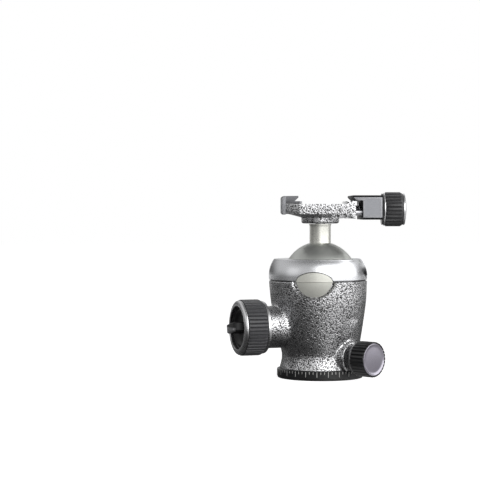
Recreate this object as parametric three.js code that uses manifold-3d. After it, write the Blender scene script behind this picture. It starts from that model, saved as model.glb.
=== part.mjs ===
// Ball head for a camera tripod: a panning base, a locking ball and a dovetail quick-release clamp.
// Millimetres, +Z up. The origin is the centre of the base's underside, on the ball's axis.
// +X runs from the clamp's fixed jaw to its knob, and -Y is the front, where the almond cap sits.
import * as THREE from 'three';
import { mergeVertices } from 'three/addons/utils/BufferGeometryUtils.js';
import Module from 'manifold-3d';

const wasm = await Module();
wasm.setup();

// Clearances and overruns
const gap = 0.3;
const turningGap = 0.12;
const overrun = 2;
const weldTolerance = 1e-4;

// Sides of round pieces
const bigSides = 40;
const midSides = 28;
const smallSides = 16;

// Base: plate, scale band, spindle and tripod socket
const base = { radius: 27, bandInset: 0.6, lip: 0.8, height: 5.9, chamfer: 0.4 };
const band = { thickness: 0.6, height: 4.6 };
const socket = { boreRadius: 4.4, depth: 12, wall: 2.4, cap: 2, mouthChamfer: 0.6 };
const spindle = { neckRadius: 13, flangeRadius: 18.5, neckHeight: 4, flangeHeight: 7.7, chamfer: 0.5 };
const bearing = { height: 3.2 };
const washer = { innerRadius: 9.5, outerRadius: 18, thickness: 1 };

// Ball and stem
const ball = { radius: 23.75, rise: 0.6, boreRadius: 4.8, boreDepth: 15, arcSteps: 14 };
const stem = {
  radius: 6.7, flare: 0.4, flareHeight: 1.6, boreRadius: 3.3, boreDepth: 15, spigotRadius: 4.5,
  spigotLength: 12.5, reach: 34.9,
};

// Housing: radii, or walls outside the ball, at rising heights, on a centre that leans to the main knob
const housing = {
  footRadius: 25.6, waistRadius: 24, hipRadius: 25.9, flankWall: 4.45, shoulderWall: 6.45, topWall: 7.4,
  waistHeight: 14, hipHeight: 23.3, flankHeight: 36, shoulderHeight: 48.7, topRise: 42,
  topLean: 1.55, topRound: 0.6, footChamfer: 0.4, profileSteps: 10,
};
const ballCavity = { clearance: 0.65, depth: 16.1 };
const seatBore = { radius: 19.8, underSeat: 0.5 };
const panCavity = { clearance: 1 };

// Collar and seats
const collar = {
  height: 13.1, topInset: 3.05, crownStart: 2.6, crownBulge: 8, openingGap: 0.31, ledgeWidth: 1.1,
  boreGap: 1.95, skirtGap: 2.15, skirtWall: 1.6, skirtDepth: 5.5, jointGap: 0.4, edgeRound: 0.5,
  crownSteps: 4,
};
const notch = { width: 19, rise: 1.4, bearingDegrees: -15, arcSteps: 6 };
const upperSeat = { clearance: 0.35, rise: 0.4, wallHeight: 6.7, height: 10.7, topInset: 2.45, arcSteps: 4 };
const lowerSeat = { innerRadius: 9, outerRadius: 19.5, wall: 2.4, arcSteps: 5 };

// Almond cap over the front joint
const cap = {
  halfWidth: 11.2, rise: 5.7, drop: 9.6, bearingDegrees: 260.2, proud: 0.15, depth: 2.45, outlineSteps: 7,
  shoulderShare: 0.87, turnShare: 0.58, flatShare: 0.55,
};
const scoop = { halfWidth: 13.8, drop: 12, depth: 1.85 };

// Main lock: boss, screw, plunger and knob, measured outward from the ball's axis
const mainBoss = { bearingDegrees: 199.5, radius: 13.3, proud: 10.1, rimChamfer: 0.8 };
const plunger = { radius: 4.5, inner: -12, length: 24, rampDegrees: 3, underSeat: 0.4 };
const bush = { radius: 8.5, recess: 0.3, clearance: 1 };
const lockScrew = { radius: 4, boreRadius: 2.3, boreDepth: 19 };
const rearRing = { radius: 16.5, thickness: 2 };
const mainCore = { radius: 13.3, length: 13.1, recessRadius: 12.3, recessDepth: 5 };
const mainGrip = {
  radius: 17.5, rearRadius: 16.5, shoulder: 1.5, length: 12.9, ribs: 46, ribDepth: 0.7, ribShare: 0.5,
  frontChamfer: 0.4, shoulderSteps: 3,
};
const frontRing = { innerRadius: 13.6, outerRadius: 17.05, thickness: 1.4, rim: 0.8, dish: 0.8 };
const dial = {
  radius: 12, rimHeight: 4.7, rimWidth: 1.6, dishDepth: 2, barLength: 15.2, barWidth: 5.8, barRise: 6.5,
  barTurnDegrees: 11,
};
const frictionScrew = { radius: 2, seatDepth: 1.7 };
const frictionSpring = { radius: 1.9, boreRadius: 1.1, length: 5.4 };

// Pan lock: boss, shoe, screw and knob, measured outward from the ball's axis
const panBoss = { bearingDegrees: -45, height: 13.8, radius: 10, proud: 4, rimChamfer: 0.7 };
const shoe = { radius: 3.2, clearance: 0.4, length: 3.1 };
const panScrew = { radius: 2.5 };
const panCore = {
  standOff: 0.5, neckRadius: 5, neckLength: 3.6, flangeRadius: 10.2, flangeThickness: 1.4,
  hubRadius: 6.5, hubLength: 9.5, endWall: 0.5,
};
const panGrip = {
  radius: 11, length: 11.2, ribs: 26, ribDepth: 0.7, ribShare: 0.55, edgeChamfer: 0.5, lidDepth: 1.7,
};
const panCap = { radius: 10, thickness: 1.1, rimWidth: 0.9, dish: 0.5 };

// Clamp body, in front view: x from the stem's axis, heights up or down from the slab's underside
const clamp = {
  length: 50, leftEnd: -22, rightEnd: 20.7, bossHeight: 6, slabHeight: 6.2, railRise: 1.8, railWidth: 5.1,
  footDrop: 2.9, footWidth: 1.6, flareWidth: 9, cornerCut: 8, bossRadius: 12, bossRound: 1.5,
  coneRadius: 20.6, coneHeight: 2.3, flareSteps: 4,
};
const underBlock = { start: 6, halfLength: 19, drop: 2.7 };
const clampBolt = { radius: 3, headRadius: 5, headHeight: 4.6, length: 20, hexRadius: 2.9, hexDepth: 3 };
const dovetail = { plateWidth: 38, slope: 2.2, seatClearance: 0.1, centre: 2.2, lipRise: 3.2 };
const fixedJaw = { endThickness: 2.4, drop: 0.4, corner: 1, footEnd: -12.5 };
const jawScrew = { radius: 1.5, headRadius: 2.75, headHeight: 1.2, length: 8.5, rise: 3.6, spacing: 20 };
const movableJaw = {
  offset: 4.5, thickness: 13.1, drop: 3.5, lipRise: 0.4, chamfer: 1.2, lipClearance: 0.3, closing: 2,
};
const guidePin = { radius: 2.1, grip: 10.2, length: 22.5, rise: 1.1, spacing: 30 };
const clampScrew = { radius: 2.5, grip: 9.7, rise: 3 };
const clip = { radius: 4.6, thickness: 0.8 };
const clampCore = {
  standOff: 0.4, flangeRadius: 10, flangeThickness: 1.9, hubRadius: 6.7, hubLength: 12.3, endWall: 5.6,
};
const clampRing = { thickness: 0.9, rearRadius: 9.5, frontRadius: 10.3 };
const clampGrip = {
  radius: 10.85, length: 10.8, ribs: 30, ribDepth: 0.6, ribShare: 0.55, endTaper: 1.4, endRadius: 9.9,
};
const clampCap = { radius: 9.9, rim: 0.9, dome: 1.4, domeSteps: 3 };

// Heights and places that follow from the sizes above
const degrees = Math.PI / 180;
const bandRadius = base.radius - base.bandInset;
const spindleBottom = base.height + gap;
const flangeBottom = spindleBottom + spindle.neckHeight;
const flangeTop = flangeBottom + spindle.flangeHeight;
const housingBottom = spindleBottom + turningGap;
const washerBottom = flangeTop + gap;
const panCeiling = washerBottom + washer.thickness + gap;
const panCavityRadius = spindle.flangeRadius + panCavity.clearance;
const bearingTop = flangeBottom - gap;
const housingTop = panCeiling + housing.topRise;
const collarBottom = housingTop + collar.jointGap;
const collarTop = collarBottom + collar.height;
const flankRadius = ball.radius + housing.flankWall;
const shoulderRadius = ball.radius + housing.shoulderWall;
const topRadius = ball.radius + housing.topWall;
const capBack = topRadius - cap.depth;
const ballCentre = housingTop + ball.rise;
const collarTopRadius = topRadius - collar.topInset;
const openingRadius = Math.sqrt(ball.radius ** 2 - (collarTop - ballCentre) ** 2) + collar.openingGap;
const ledgeRadius = openingRadius + collar.ledgeWidth;
const collarBore = ball.radius + collar.boreGap;
const skirtInner = ball.radius + collar.skirtGap;
const skirtOuter = skirtInner + collar.skirtWall;
const upperSeatRadius = collarBore - upperSeat.clearance;
const upperSeatCrown = upperSeatRadius - upperSeat.topInset;
const ballFlat = ballCentre + Math.sqrt(ball.radius ** 2 - stem.radius ** 2);
const stemTop = ballCentre + stem.reach;
const seatRadius = ball.radius + gap;
const lowerSeatBottom = ballCentre - Math.sqrt(seatRadius ** 2 - lowerSeat.innerRadius ** 2) - lowerSeat.wall;
const upperSeatBottom = collarBottom + upperSeat.rise;
const upperSeatShoulder = upperSeatBottom + upperSeat.wallHeight;
const upperSeatTop = upperSeatBottom + upperSeat.height;
const ballCavityFloor = ballCentre - ballCavity.depth;
const seatBoreFloor = lowerSeatBottom - seatBore.underSeat;
const mainHeight = lowerSeatBottom - plunger.underSeat - plunger.radius;
const mainReach = flankRadius + mainBoss.proud;
const panReach = housing.waistRadius + panBoss.proud;
const bushEnd = mainReach - bush.recess;
const bushStart = lowerSeat.outerRadius + bush.clearance;
const shoeStart = spindle.flangeRadius + shoe.clearance;
const shoeEnd = shoeStart + shoe.length;
const bossBottom = stemTop + gap;
const underside = bossBottom + clamp.bossHeight;
const bed = underside + clamp.slabHeight;
const railTop = bed + clamp.railRise;
const footHeight = underside - clamp.footDrop;
const dovetailTop = railTop + dovetail.lipRise;
const bandInner = bandRadius + gap;
const bandBottom = base.lip + gap;

function material(color, roughness, metalness) {
  return new THREE.MeshStandardMaterial({ color, roughness, metalness });
}
const speckled = material(0x55585a, 0.35, 0.4);
const satinSilver = material(0xd9dadd, 0.3, 0.9);
const coatedBall = material(0x8b8f8a, 0.5, 0.5);
const warmGrey = material(0xc9cac4, 0.35, 0.7);
const blackMetal = material(0x1b1b1c, 0.4, 0.6);
const blackRubber = material(0x2b2b2c, 0.8, 0);
const greyAnodised = material(0x9a9ba0, 0.45, 0.7);
const steel = material(0xb9bcc0, 0.3, 1);
const brass = material(0xc2a45a, 0.35, 1);
const polymer = material(0xe6e3da, 0.6, 0);
const mauveCap = material(0x8f8896, 0.25, 0.5);

// A closed solid for joining and cutting, from a geometry whose faces point out
function solid(geometry) {
  const bare = geometry.clone();
  bare.deleteAttribute('normal');
  bare.deleteAttribute('uv');
  const merged = mergeVertices(bare, weldTolerance);
  const corners = merged.index.array;
  const kept = [];
  for (let i = 0; i < corners.length; i += 3) {
    const [a, b, c] = [corners[i], corners[i + 1], corners[i + 2]];
    if (a !== b && b !== c && c !== a) kept.push(a, b, c);
  }
  return new wasm.Manifold(new wasm.Mesh({
    numProp: 3,
    vertProperties: new Float32Array(merged.attributes.position.array),
    triVerts: new Uint32Array(kept),
  }));
}

function geometryOf(body) {
  const mesh = body.getMesh();
  const geometry = new THREE.BufferGeometry();
  geometry.setAttribute('position', new THREE.BufferAttribute(mesh.vertProperties.slice(), 3));
  geometry.setIndex(new THREE.BufferAttribute(mesh.triVerts.slice(), 1));
  geometry.computeVertexNormals();
  return geometry;
}

// A turned solid about Z from [radius, height] points, counter-clockwise with the axis on the left
function turned(points, sides = midSides) {
  const outline = points.map(([r, z]) => new THREE.Vector2(r, z));
  if (points[0][0] > 0 || points[points.length - 1][0] > 0) outline.push(outline[0].clone());
  return new THREE.LatheGeometry(outline, sides).rotateX(Math.PI / 2);
}

// A plain disc or tube from one height to another
function disc(radius, from, to, sides = midSides) {
  return turned([[0, from], [radius, from], [radius, to], [0, to]], sides);
}

function tube(inner, outer, from, to, sides = midSides) {
  return turned([[inner, from], [outer, from], [outer, to], [inner, to]], sides);
}

// Points on an arc of a turned profile
function arc(radius, centreHeight, from, to, steps) {
  return Array.from({ length: steps + 1 }, (_, i) => {
    const angle = (from + (to - from) * i / steps) * degrees;
    return [radius * Math.cos(angle), centreHeight + radius * Math.sin(angle)];
  });
}

// The turn that carries +Z to a compass bearing in plan, with +Y up
function outward(bearing) {
  const angle = bearing * degrees;
  return new THREE.Matrix4().makeBasis(
    new THREE.Vector3(-Math.sin(angle), Math.cos(angle), 0),
    new THREE.Vector3(0, 0, 1),
    new THREE.Vector3(Math.cos(angle), Math.sin(angle), 0),
  );
}

// A geometry built along +Z, laid along a bearing at a height
function laid(geometry, bearing, height = 0) {
  return geometry.applyMatrix4(outward(bearing)).translate(0, 0, height);
}

// A front-view outline of [x, z] points, run through the clamp's length
function ran(points, length, middle = 0) {
  const outline = new THREE.Shape(points.map(([x, z]) => new THREE.Vector2(x, z)));
  return new THREE.ExtrudeGeometry(outline, { depth: length, bevelEnabled: false })
    .rotateX(Math.PI / 2).translate(0, middle + length / 2, 0);
}

function box(from, to) {
  const size = new THREE.Vector3().subVectors(to, from);
  const middle = new THREE.Vector3().addVectors(to, from).multiplyScalar(0.5);
  return new THREE.BoxGeometry(size.x, size.y, size.z).translate(middle.x, middle.y, middle.z);
}

// A ribbed prism: flat ribs round a circle, with grooves between them
function ribbed({ radius, ribs, ribDepth, ribShare }, from, to) {
  const outline = new THREE.Shape();
  for (let i = 0; i < ribs; i += 1) {
    const pitch = 2 * Math.PI / ribs;
    const half = ribShare / 2;
    const slope = (1 - ribShare) / 4;
    const corners = [[-half, radius], [half, radius], [half + slope, radius - ribDepth],
      [1 - half - slope, radius - ribDepth]];
    for (const [turn, reach] of corners) {
      const angle = (i + turn) * pitch;
      const place = [reach * Math.cos(angle), reach * Math.sin(angle)];
      if (outline.curves.length === 0 && outline.currentPoint.lengthSq() === 0) outline.moveTo(...place);
      else outline.lineTo(...place);
    }
  }
  return new THREE.ExtrudeGeometry(outline, { depth: to - from, bevelEnabled: false })
    .translate(0, 0, from);
}

const ballHead = new THREE.Group();

function piece(name, shape, look, parent = ballHead) {
  const mesh = new THREE.Mesh(shape.isBufferGeometry ? shape : geometryOf(shape), look);
  mesh.name = name;
  parent.add(mesh);
  return mesh;
}

// A group whose +Z points outward along a bearing, for the pieces on one knob's axis
function knobAxis(bearing, height, parent = ballHead) {
  const group = new THREE.Group();
  group.rotation.setFromRotationMatrix(outward(bearing));
  group.position.set(0, 0, height);
  parent.add(group);
  return group;
}

// Base: the plate that sits on the tripod, with the scale band round it and the steel tripod socket
const socketRadius = socket.boreRadius + socket.wall;
const socketTop = socket.depth + socket.cap;
piece('base_plate', turned([
  [socketRadius + gap, 0], [base.radius - base.chamfer, 0], [base.radius, base.chamfer],
  [base.radius, base.lip],
  [bandRadius, base.lip], [bandRadius, base.height], [socketRadius + gap, base.height],
], bigSides), blackMetal);

const bandTop = bandBottom + band.height;
piece('degree_scale', tube(bandInner, bandInner + band.thickness, bandBottom, bandTop, bigSides), blackMetal);

piece('thread_bushing', turned([
  [socket.boreRadius + socket.mouthChamfer, 0], [socketRadius, 0], [socketRadius, socketTop],
  [0, socketTop],
  [0, socket.depth], [socket.boreRadius, socket.depth], [socket.boreRadius, socket.mouthChamfer],
], smallSides), steel);

piece('pan_spindle', solid(turned([
  [0, spindleBottom], [spindle.neckRadius, spindleBottom], [spindle.neckRadius, flangeBottom],
  [spindle.flangeRadius - spindle.chamfer, flangeBottom],
  [spindle.flangeRadius, flangeBottom + spindle.chamfer],
  [spindle.flangeRadius, flangeTop - spindle.chamfer], [spindle.flangeRadius - spindle.chamfer, flangeTop],
  [0, flangeTop],
])).subtract(solid(disc(socketRadius + gap, spindleBottom - overrun, socketTop + gap, smallSides))),
  blackMetal);

// Panning bearing: the ring that traps the spindle's flange, and the washer above it
piece('bearing_ring', tube(
  spindle.neckRadius + gap, panCavityRadius - gap, bearingTop - bearing.height, bearingTop), brass);
const washerTop = washerBottom + washer.thickness;
piece('thrust_washer', tube(washer.innerRadius, washer.outerRadius, washerBottom, washerTop), polymer);

// Housing: a cast shell whose upper part leans toward the main knob
const leanAngle = mainBoss.bearingDegrees * degrees;
const leanX = housing.topLean * Math.cos(leanAngle);
const leanY = housing.topLean * Math.sin(leanAngle);

function leaned(geometry) {
  const places = geometry.attributes.position;
  for (let i = 0; i < places.count; i += 1) {
    const share = (places.getZ(i) - housingBottom) / (housingTop - housingBottom);
    places.setX(i, places.getX(i) + share * leanX);
    places.setY(i, places.getY(i) + share * leanY);
  }
  return geometry;
}

function housingShell() {
  const flank = new THREE.SplineCurve([
    new THREE.Vector2(housing.footRadius, housingBottom + housing.footChamfer),
    new THREE.Vector2(housing.waistRadius, housing.waistHeight),
    new THREE.Vector2(housing.hipRadius, housing.hipHeight),
    new THREE.Vector2(flankRadius, housing.flankHeight),
    new THREE.Vector2(shoulderRadius, housing.shoulderHeight),
    new THREE.Vector2(topRadius, housingTop - housing.topRound),
  ]).getPoints(housing.profileSteps).map((point) => [point.x, point.y]);
  return solid(leaned(turned([
    [0, housingBottom], [housing.footRadius - housing.footChamfer, housingBottom], ...flank,
    [topRadius - housing.topRound, housingTop], [0, housingTop],
  ], bigSides)));
}

function boss({ bearingDegrees, radius, rimChamfer }, reach, height) {
  const round = turned([
    [0, 0], [radius, 0], [radius, reach - rimChamfer], [radius - rimChamfer, reach], [0, reach],
  ]);
  return solid(laid(round, bearingDegrees, height));
}

// The almond outline in the plane across the front bearing, grown by a margin and centred on the joint
function almond(halfWidth, rise, drop, margin = 0) {
  const width = halfWidth + margin;
  const shoulder = width * cap.shoulderShare;
  const turn = drop * cap.turnShare;
  const flat = width * cap.flatShare;
  const outline = new THREE.Shape();
  outline.moveTo(width, 0);
  if (rise > 0) outline.absellipse(0, 0, width, rise + margin, 0, Math.PI);
  else outline.lineTo(width, overrun).lineTo(-width, overrun).lineTo(-width, 0);
  outline.bezierCurveTo(-shoulder, -turn, -flat, -drop - margin, 0, -drop - margin);
  outline.bezierCurveTo(flat, -drop - margin, shoulder, -turn, width, 0);
  return outline;
}

function frontPrism(outline, from, to) {
  const prism = new THREE.ExtrudeGeometry(outline, {
    depth: to - from, bevelEnabled: false, curveSegments: cap.outlineSteps,
  }).translate(0, 0, from);
  return solid(laid(prism, cap.bearingDegrees, housingTop));
}

const pastWall = topRadius + housing.topLean + overrun;
const capPocket = frontPrism(almond(cap.halfWidth, cap.rise, cap.drop, gap), capBack - gap, pastWall);
const scoopCut = frontPrism(almond(scoop.halfWidth, 0, scoop.drop), topRadius - scoop.depth, pastWall);
const skirtBottom = collarBottom - collar.skirtDepth;

let housingSolid = housingShell().add(boss(mainBoss, mainReach, mainHeight))
  .add(boss(panBoss, panReach, panBoss.height));
const housingCuts = [
  solid(disc(panReach + overrun, panBoss.height - panBoss.radius - overrun, housingBottom)),
  solid(disc(ball.radius + ballCavity.clearance, ballCavityFloor, housingTop + overrun, bigSides)),
  solid(disc(seatBore.radius, seatBoreFloor, ballCavityFloor + overrun)),
  solid(disc(skirtOuter + gap, skirtBottom - gap, housingTop + overrun, bigSides)),
  solid(disc(panCavityRadius, housingBottom - overrun, panCeiling)),
  solid(laid(disc(plunger.radius + gap, plunger.inner - gap, bushStart, smallSides),
    mainBoss.bearingDegrees, mainHeight)),
  solid(laid(disc(bush.radius + gap, bushStart - gap, mainReach + overrun),
    mainBoss.bearingDegrees, mainHeight)),
  solid(laid(disc(shoe.radius + gap, shoeStart - overrun, shoeEnd + gap, smallSides),
    panBoss.bearingDegrees, panBoss.height)),
  solid(laid(disc(panScrew.radius + gap, shoeEnd, panReach + overrun, smallSides),
    panBoss.bearingDegrees, panBoss.height)),
  capPocket, scoopCut,
];
for (const cut of housingCuts) housingSolid = housingSolid.subtract(cut);
piece('housing', housingSolid, speckled);

// Collar: screwed into the housing's top, it holds the ball down and has the drop notch
function notchCut() {
  const half = notch.width / 2;
  const top = collarTop - ballCentre + overrun;
  const arcCentre = notch.rise + half;
  const outline = new THREE.Shape();
  outline.moveTo(half, top);
  outline.lineTo(-half, top);
  outline.lineTo(-half, arcCentre);
  outline.absarc(0, arcCentre, half, Math.PI, 2 * Math.PI);
  outline.lineTo(half, top);
  const prism = new THREE.ExtrudeGeometry(outline, {
    depth: pastWall, bevelEnabled: false, curveSegments: notch.arcSteps,
  });
  return solid(laid(prism, notch.bearingDegrees, ballCentre));
}

function collarSolid() {
  const crown = new THREE.QuadraticBezierCurve(
    new THREE.Vector2(topRadius, collarBottom + collar.crownStart),
    new THREE.Vector2(topRadius, collarBottom + collar.crownBulge),
    new THREE.Vector2(collarTopRadius, collarTop - collar.edgeRound),
  ).getPoints(collar.crownSteps).map((point) => [point.x, point.y]);
  const outside = turned([
    [0, collarBottom], [topRadius - collar.edgeRound, collarBottom],
    [topRadius, collarBottom + collar.edgeRound], ...crown,
    [collarTopRadius - collar.edgeRound, collarTop], [0, collarTop],
  ], bigSides).translate(leanX, leanY, 0);
  const inside = turned([
    [0, collarBottom - overrun], [collarBore, collarBottom - overrun],
    [collarBore, upperSeatShoulder + gap], [upperSeatCrown + gap, upperSeatTop + gap],
    [ledgeRadius, upperSeatTop + gap], [openingRadius, collarTop],
    [openingRadius, collarTop + overrun], [0, collarTop + overrun],
  ], bigSides);
  const skirt = tube(skirtInner, skirtOuter, skirtBottom, collarBottom + overrun, bigSides);
  return solid(outside).subtract(solid(inside)).add(solid(skirt)).subtract(notchCut()).subtract(capPocket);
}
piece('collar', collarSolid(), satinSilver);

const capDome = solid(new THREE.SphereGeometry(topRadius + cap.proud, bigSides, bigSides / 2)
  .rotateX(Math.PI / 2).translate(leanX, leanY, housingTop));
const capPrism = frontPrism(almond(cap.halfWidth, cap.rise, cap.drop), capBack, pastWall);
piece('front_cap', capPrism.intersect(capDome), warmGrey);

// Seats: polymer rings above and below the ball
const upperSeatRing = solid(turned([
  [Math.sqrt(seatRadius ** 2 - (upperSeatBottom - ballCentre) ** 2), upperSeatBottom],
  [upperSeatRadius, upperSeatBottom], [upperSeatRadius, upperSeatShoulder],
  [upperSeatCrown, upperSeatTop],
  ...arc(seatRadius, ballCentre, Math.asin((upperSeatTop - ballCentre) / seatRadius) / degrees,
    Math.asin((upperSeatBottom - ballCentre) / seatRadius) / degrees, upperSeat.arcSteps).slice(0, -1),
], bigSides));
piece('upper_seat', upperSeatRing.subtract(notchCut()), polymer);

const seatEdge = lowerSeat.outerRadius - gap;
piece('lower_seat', turned([
  [lowerSeat.innerRadius, lowerSeatBottom], [lowerSeat.outerRadius, lowerSeatBottom],
  [lowerSeat.outerRadius, ballCentre - Math.sqrt(seatRadius ** 2 - seatEdge ** 2)],
  ...arc(seatRadius, ballCentre, -Math.acos(seatEdge / seatRadius) / degrees,
    -Math.acos(lowerSeat.innerRadius / seatRadius) / degrees, lowerSeat.arcSteps),
]), polymer);

// Ball and stem: the ball is drilled for the stem's spigot, and the clamp's bolt screws into the stem
const ballTopAngle = Math.acos(stem.radius / ball.radius) / degrees;
piece('ball', turned([
  [0, ballCentre - ball.radius],
  ...arc(ball.radius, ballCentre, -90, ballTopAngle, ball.arcSteps).slice(1),
  [ball.boreRadius, ballFlat], [ball.boreRadius, ballFlat - ball.boreDepth], [0, ballFlat - ball.boreDepth],
], bigSides), coatedBall);

const stemBottom = ballFlat + gap;
piece('stem', turned([
  [0, stemBottom - stem.spigotLength], [stem.spigotRadius, stemBottom - stem.spigotLength],
  [stem.spigotRadius, stemBottom], [stem.radius, stemBottom], [stem.radius, stemTop - stem.flareHeight],
  [stem.radius + stem.flare, stemTop], [stem.boreRadius, stemTop],
  [stem.boreRadius, stemTop - stem.boreDepth],
  [0, stemTop - stem.boreDepth],
]), warmGrey);

// Main lock: the knob's screw drives the plunger, whose ramp lifts the lower seat against the ball
const mainAxis = knobAxis(mainBoss.bearingDegrees, mainHeight);
const plungerEnd = plunger.inner + plunger.length;
const rearRingStart = mainReach + gap;
const rearRingEnd = rearRingStart + rearRing.thickness;
const coreStart = rearRingEnd + gap;
const coreEnd = coreStart + mainCore.length;
const recessFloor = coreEnd - mainCore.recessDepth;
const screwEnd = recessFloor - gap;
const ramp = box(
  new THREE.Vector3(-plunger.radius - overrun, plunger.radius, plunger.inner - overrun),
  new THREE.Vector3(plunger.radius + overrun, plunger.radius + plunger.length, plungerEnd + overrun),
).translate(0, -plunger.radius, 0).rotateX(plunger.rampDegrees * degrees).translate(0, plunger.radius, 0);
const plungerRod = solid(disc(plunger.radius, plunger.inner, plungerEnd, smallSides));
piece('lock_plunger', plungerRod.subtract(solid(ramp)), steel, mainAxis);
piece('lock_bush', tube(lockScrew.radius + gap, bush.radius, bushStart, bushEnd), brass, mainAxis);
piece('main_lock_screw', turned([
  [0, plungerEnd + gap], [lockScrew.radius, plungerEnd + gap], [lockScrew.radius, screwEnd],
  [lockScrew.boreRadius, screwEnd], [lockScrew.boreRadius, screwEnd - lockScrew.boreDepth],
  [0, screwEnd - lockScrew.boreDepth],
], smallSides), steel, mainAxis);
piece('main_knob_rear_ring', tube(lockScrew.radius + gap, rearRing.radius, rearRingStart, rearRingEnd),
  satinSilver, mainAxis);
piece('main_knob_core', turned([
  [lockScrew.radius + gap, coreStart], [mainCore.radius, coreStart], [mainCore.radius, coreEnd],
  [mainCore.recessRadius, coreEnd], [mainCore.recessRadius, recessFloor],
  [lockScrew.radius + gap, recessFloor],
]), blackMetal, mainAxis);

const gripEnd = coreStart + mainGrip.length;
const gripBore = mainCore.radius + gap;
const gripShoulder = Array.from({ length: mainGrip.shoulderSteps + 1 }, (_, i) => {
  const angle = (Math.PI / 2) * i / mainGrip.shoulderSteps;
  return [
    mainGrip.rearRadius + (mainGrip.radius - mainGrip.rearRadius) * Math.sin(angle),
    coreStart + mainGrip.shoulder * (1 - Math.cos(angle)),
  ];
});
const mainGripShell = solid(turned([
  [gripBore, coreStart], ...gripShoulder, [mainGrip.radius, gripEnd - mainGrip.frontChamfer],
  [mainGrip.radius - mainGrip.frontChamfer, gripEnd], [gripBore, gripEnd],
], mainGrip.ribs));
const mainGripRibs = solid(ribbed(mainGrip, coreStart - overrun, gripEnd + overrun));
piece('main_knob_grip', mainGripShell.intersect(mainGripRibs), blackRubber, mainAxis);
const frontRingStart = gripEnd + gap;
const frontRingEnd = frontRingStart + frontRing.thickness;
piece('main_knob_front_ring', turned([
  [frontRing.innerRadius, frontRingStart], [frontRing.outerRadius, frontRingStart],
  [frontRing.outerRadius, frontRingEnd], [frontRing.outerRadius - frontRing.rim, frontRingEnd],
  [frontRing.innerRadius, frontRingEnd - frontRing.dish],
]), satinSilver, mainAxis);

// Friction dial: a dished disc with a thumb bar, on its own screw and spring inside the lock screw
const dialBack = recessFloor + gap;
const dialFront = dialBack + dial.rimHeight;
const dialFace = dialFront - dial.dishDepth;
const thumbBar = box(
  new THREE.Vector3(-dial.barLength / 2, -dial.barWidth / 2, dialFace - dial.dishDepth / 2),
  new THREE.Vector3(dial.barLength / 2, dial.barWidth / 2, dialFront + dial.barRise),
).rotateZ(dial.barTurnDegrees * degrees);
const dialDish = solid(turned([
  [frictionScrew.radius + gap, dialBack], [dial.radius, dialBack], [dial.radius, dialFront],
  [dial.radius - dial.rimWidth, dialFront], [dial.radius - dial.rimWidth - dial.dishDepth, dialFace],
  [0, dialFace],
  [0, dialBack + frictionScrew.seatDepth], [frictionScrew.radius + gap, dialBack + frictionScrew.seatDepth],
]));
piece('friction_dial', dialDish.add(solid(thumbBar)), blackMetal, mainAxis);
const springStart = screwEnd - lockScrew.boreDepth + gap;
const springEnd = springStart + frictionSpring.length;
piece('friction_spring',
  tube(frictionSpring.boreRadius, frictionSpring.radius, springStart, springEnd, smallSides),
  steel, mainAxis);
const frictionEnd = dialBack + frictionScrew.seatDepth - gap;
piece('friction_screw',
  disc(frictionScrew.radius, springEnd + gap, frictionEnd, smallSides), steel, mainAxis);

// Pan lock: the knob's screw presses a shoe on the spindle's flange
const panAxis = knobAxis(panBoss.bearingDegrees, panBoss.height);
const panScrewStart = shoeEnd + gap;
const panNeckStart = panReach + panCore.standOff;
const panFlangeStart = panNeckStart + panCore.neckLength;
const panFlangeEnd = panFlangeStart + panCore.flangeThickness;
const panHubEnd = panFlangeEnd + panCore.hubLength;
const panScrewEnd = panHubEnd - panCore.endWall - gap;
const panGripStart = panFlangeEnd + gap;
const panGripEnd = panGripStart + panGrip.length;
const lidFloor = panGripEnd - panGrip.lidDepth;
piece('pan_brake_shoe', disc(shoe.radius, shoeStart, shoeEnd, smallSides), brass, panAxis);
piece('pan_lock_screw', disc(panScrew.radius, panScrewStart, panScrewEnd, smallSides), steel, panAxis);
piece('pan_knob_core', turned([
  [panScrew.radius + gap, panNeckStart], [panCore.neckRadius, panNeckStart],
  [panCore.neckRadius, panFlangeStart], [panCore.flangeRadius, panFlangeStart],
  [panCore.flangeRadius, panFlangeEnd], [panCore.hubRadius, panFlangeEnd], [panCore.hubRadius, panHubEnd],
  [0, panHubEnd], [0, panScrewEnd + gap], [panScrew.radius + gap, panScrewEnd + gap],
], smallSides), blackMetal, panAxis);
const panGripShell = solid(turned([
  [panCore.hubRadius + gap, panGripStart], [panGrip.radius - panGrip.edgeChamfer, panGripStart],
  [panGrip.radius, panGripStart + panGrip.edgeChamfer], [panGrip.radius, panGripEnd - panGrip.edgeChamfer],
  [panGrip.radius - panGrip.edgeChamfer, panGripEnd], [panCap.radius + gap, panGripEnd],
  [panCap.radius + gap, lidFloor], [panCore.hubRadius + gap, lidFloor],
], panGrip.ribs));
const panGripRibs = solid(ribbed(panGrip, panGripStart - overrun, panGripEnd + overrun));
piece('pan_knob_grip', panGripShell.intersect(panGripRibs), blackRubber, panAxis);
const panCapStart = lidFloor + gap;
const panCapEnd = panCapStart + panCap.thickness;
piece('pan_knob_cap', turned([
  [0, panCapStart], [panCap.radius, panCapStart], [panCap.radius, panCapEnd],
  [panCap.radius - panCap.rimWidth, panCapEnd],
  [panCap.radius - panCap.rimWidth - panCap.dish, panCapEnd - panCap.dish],
  [0, panCapEnd - panCap.dish],
]), mauveCap, panAxis);

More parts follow.
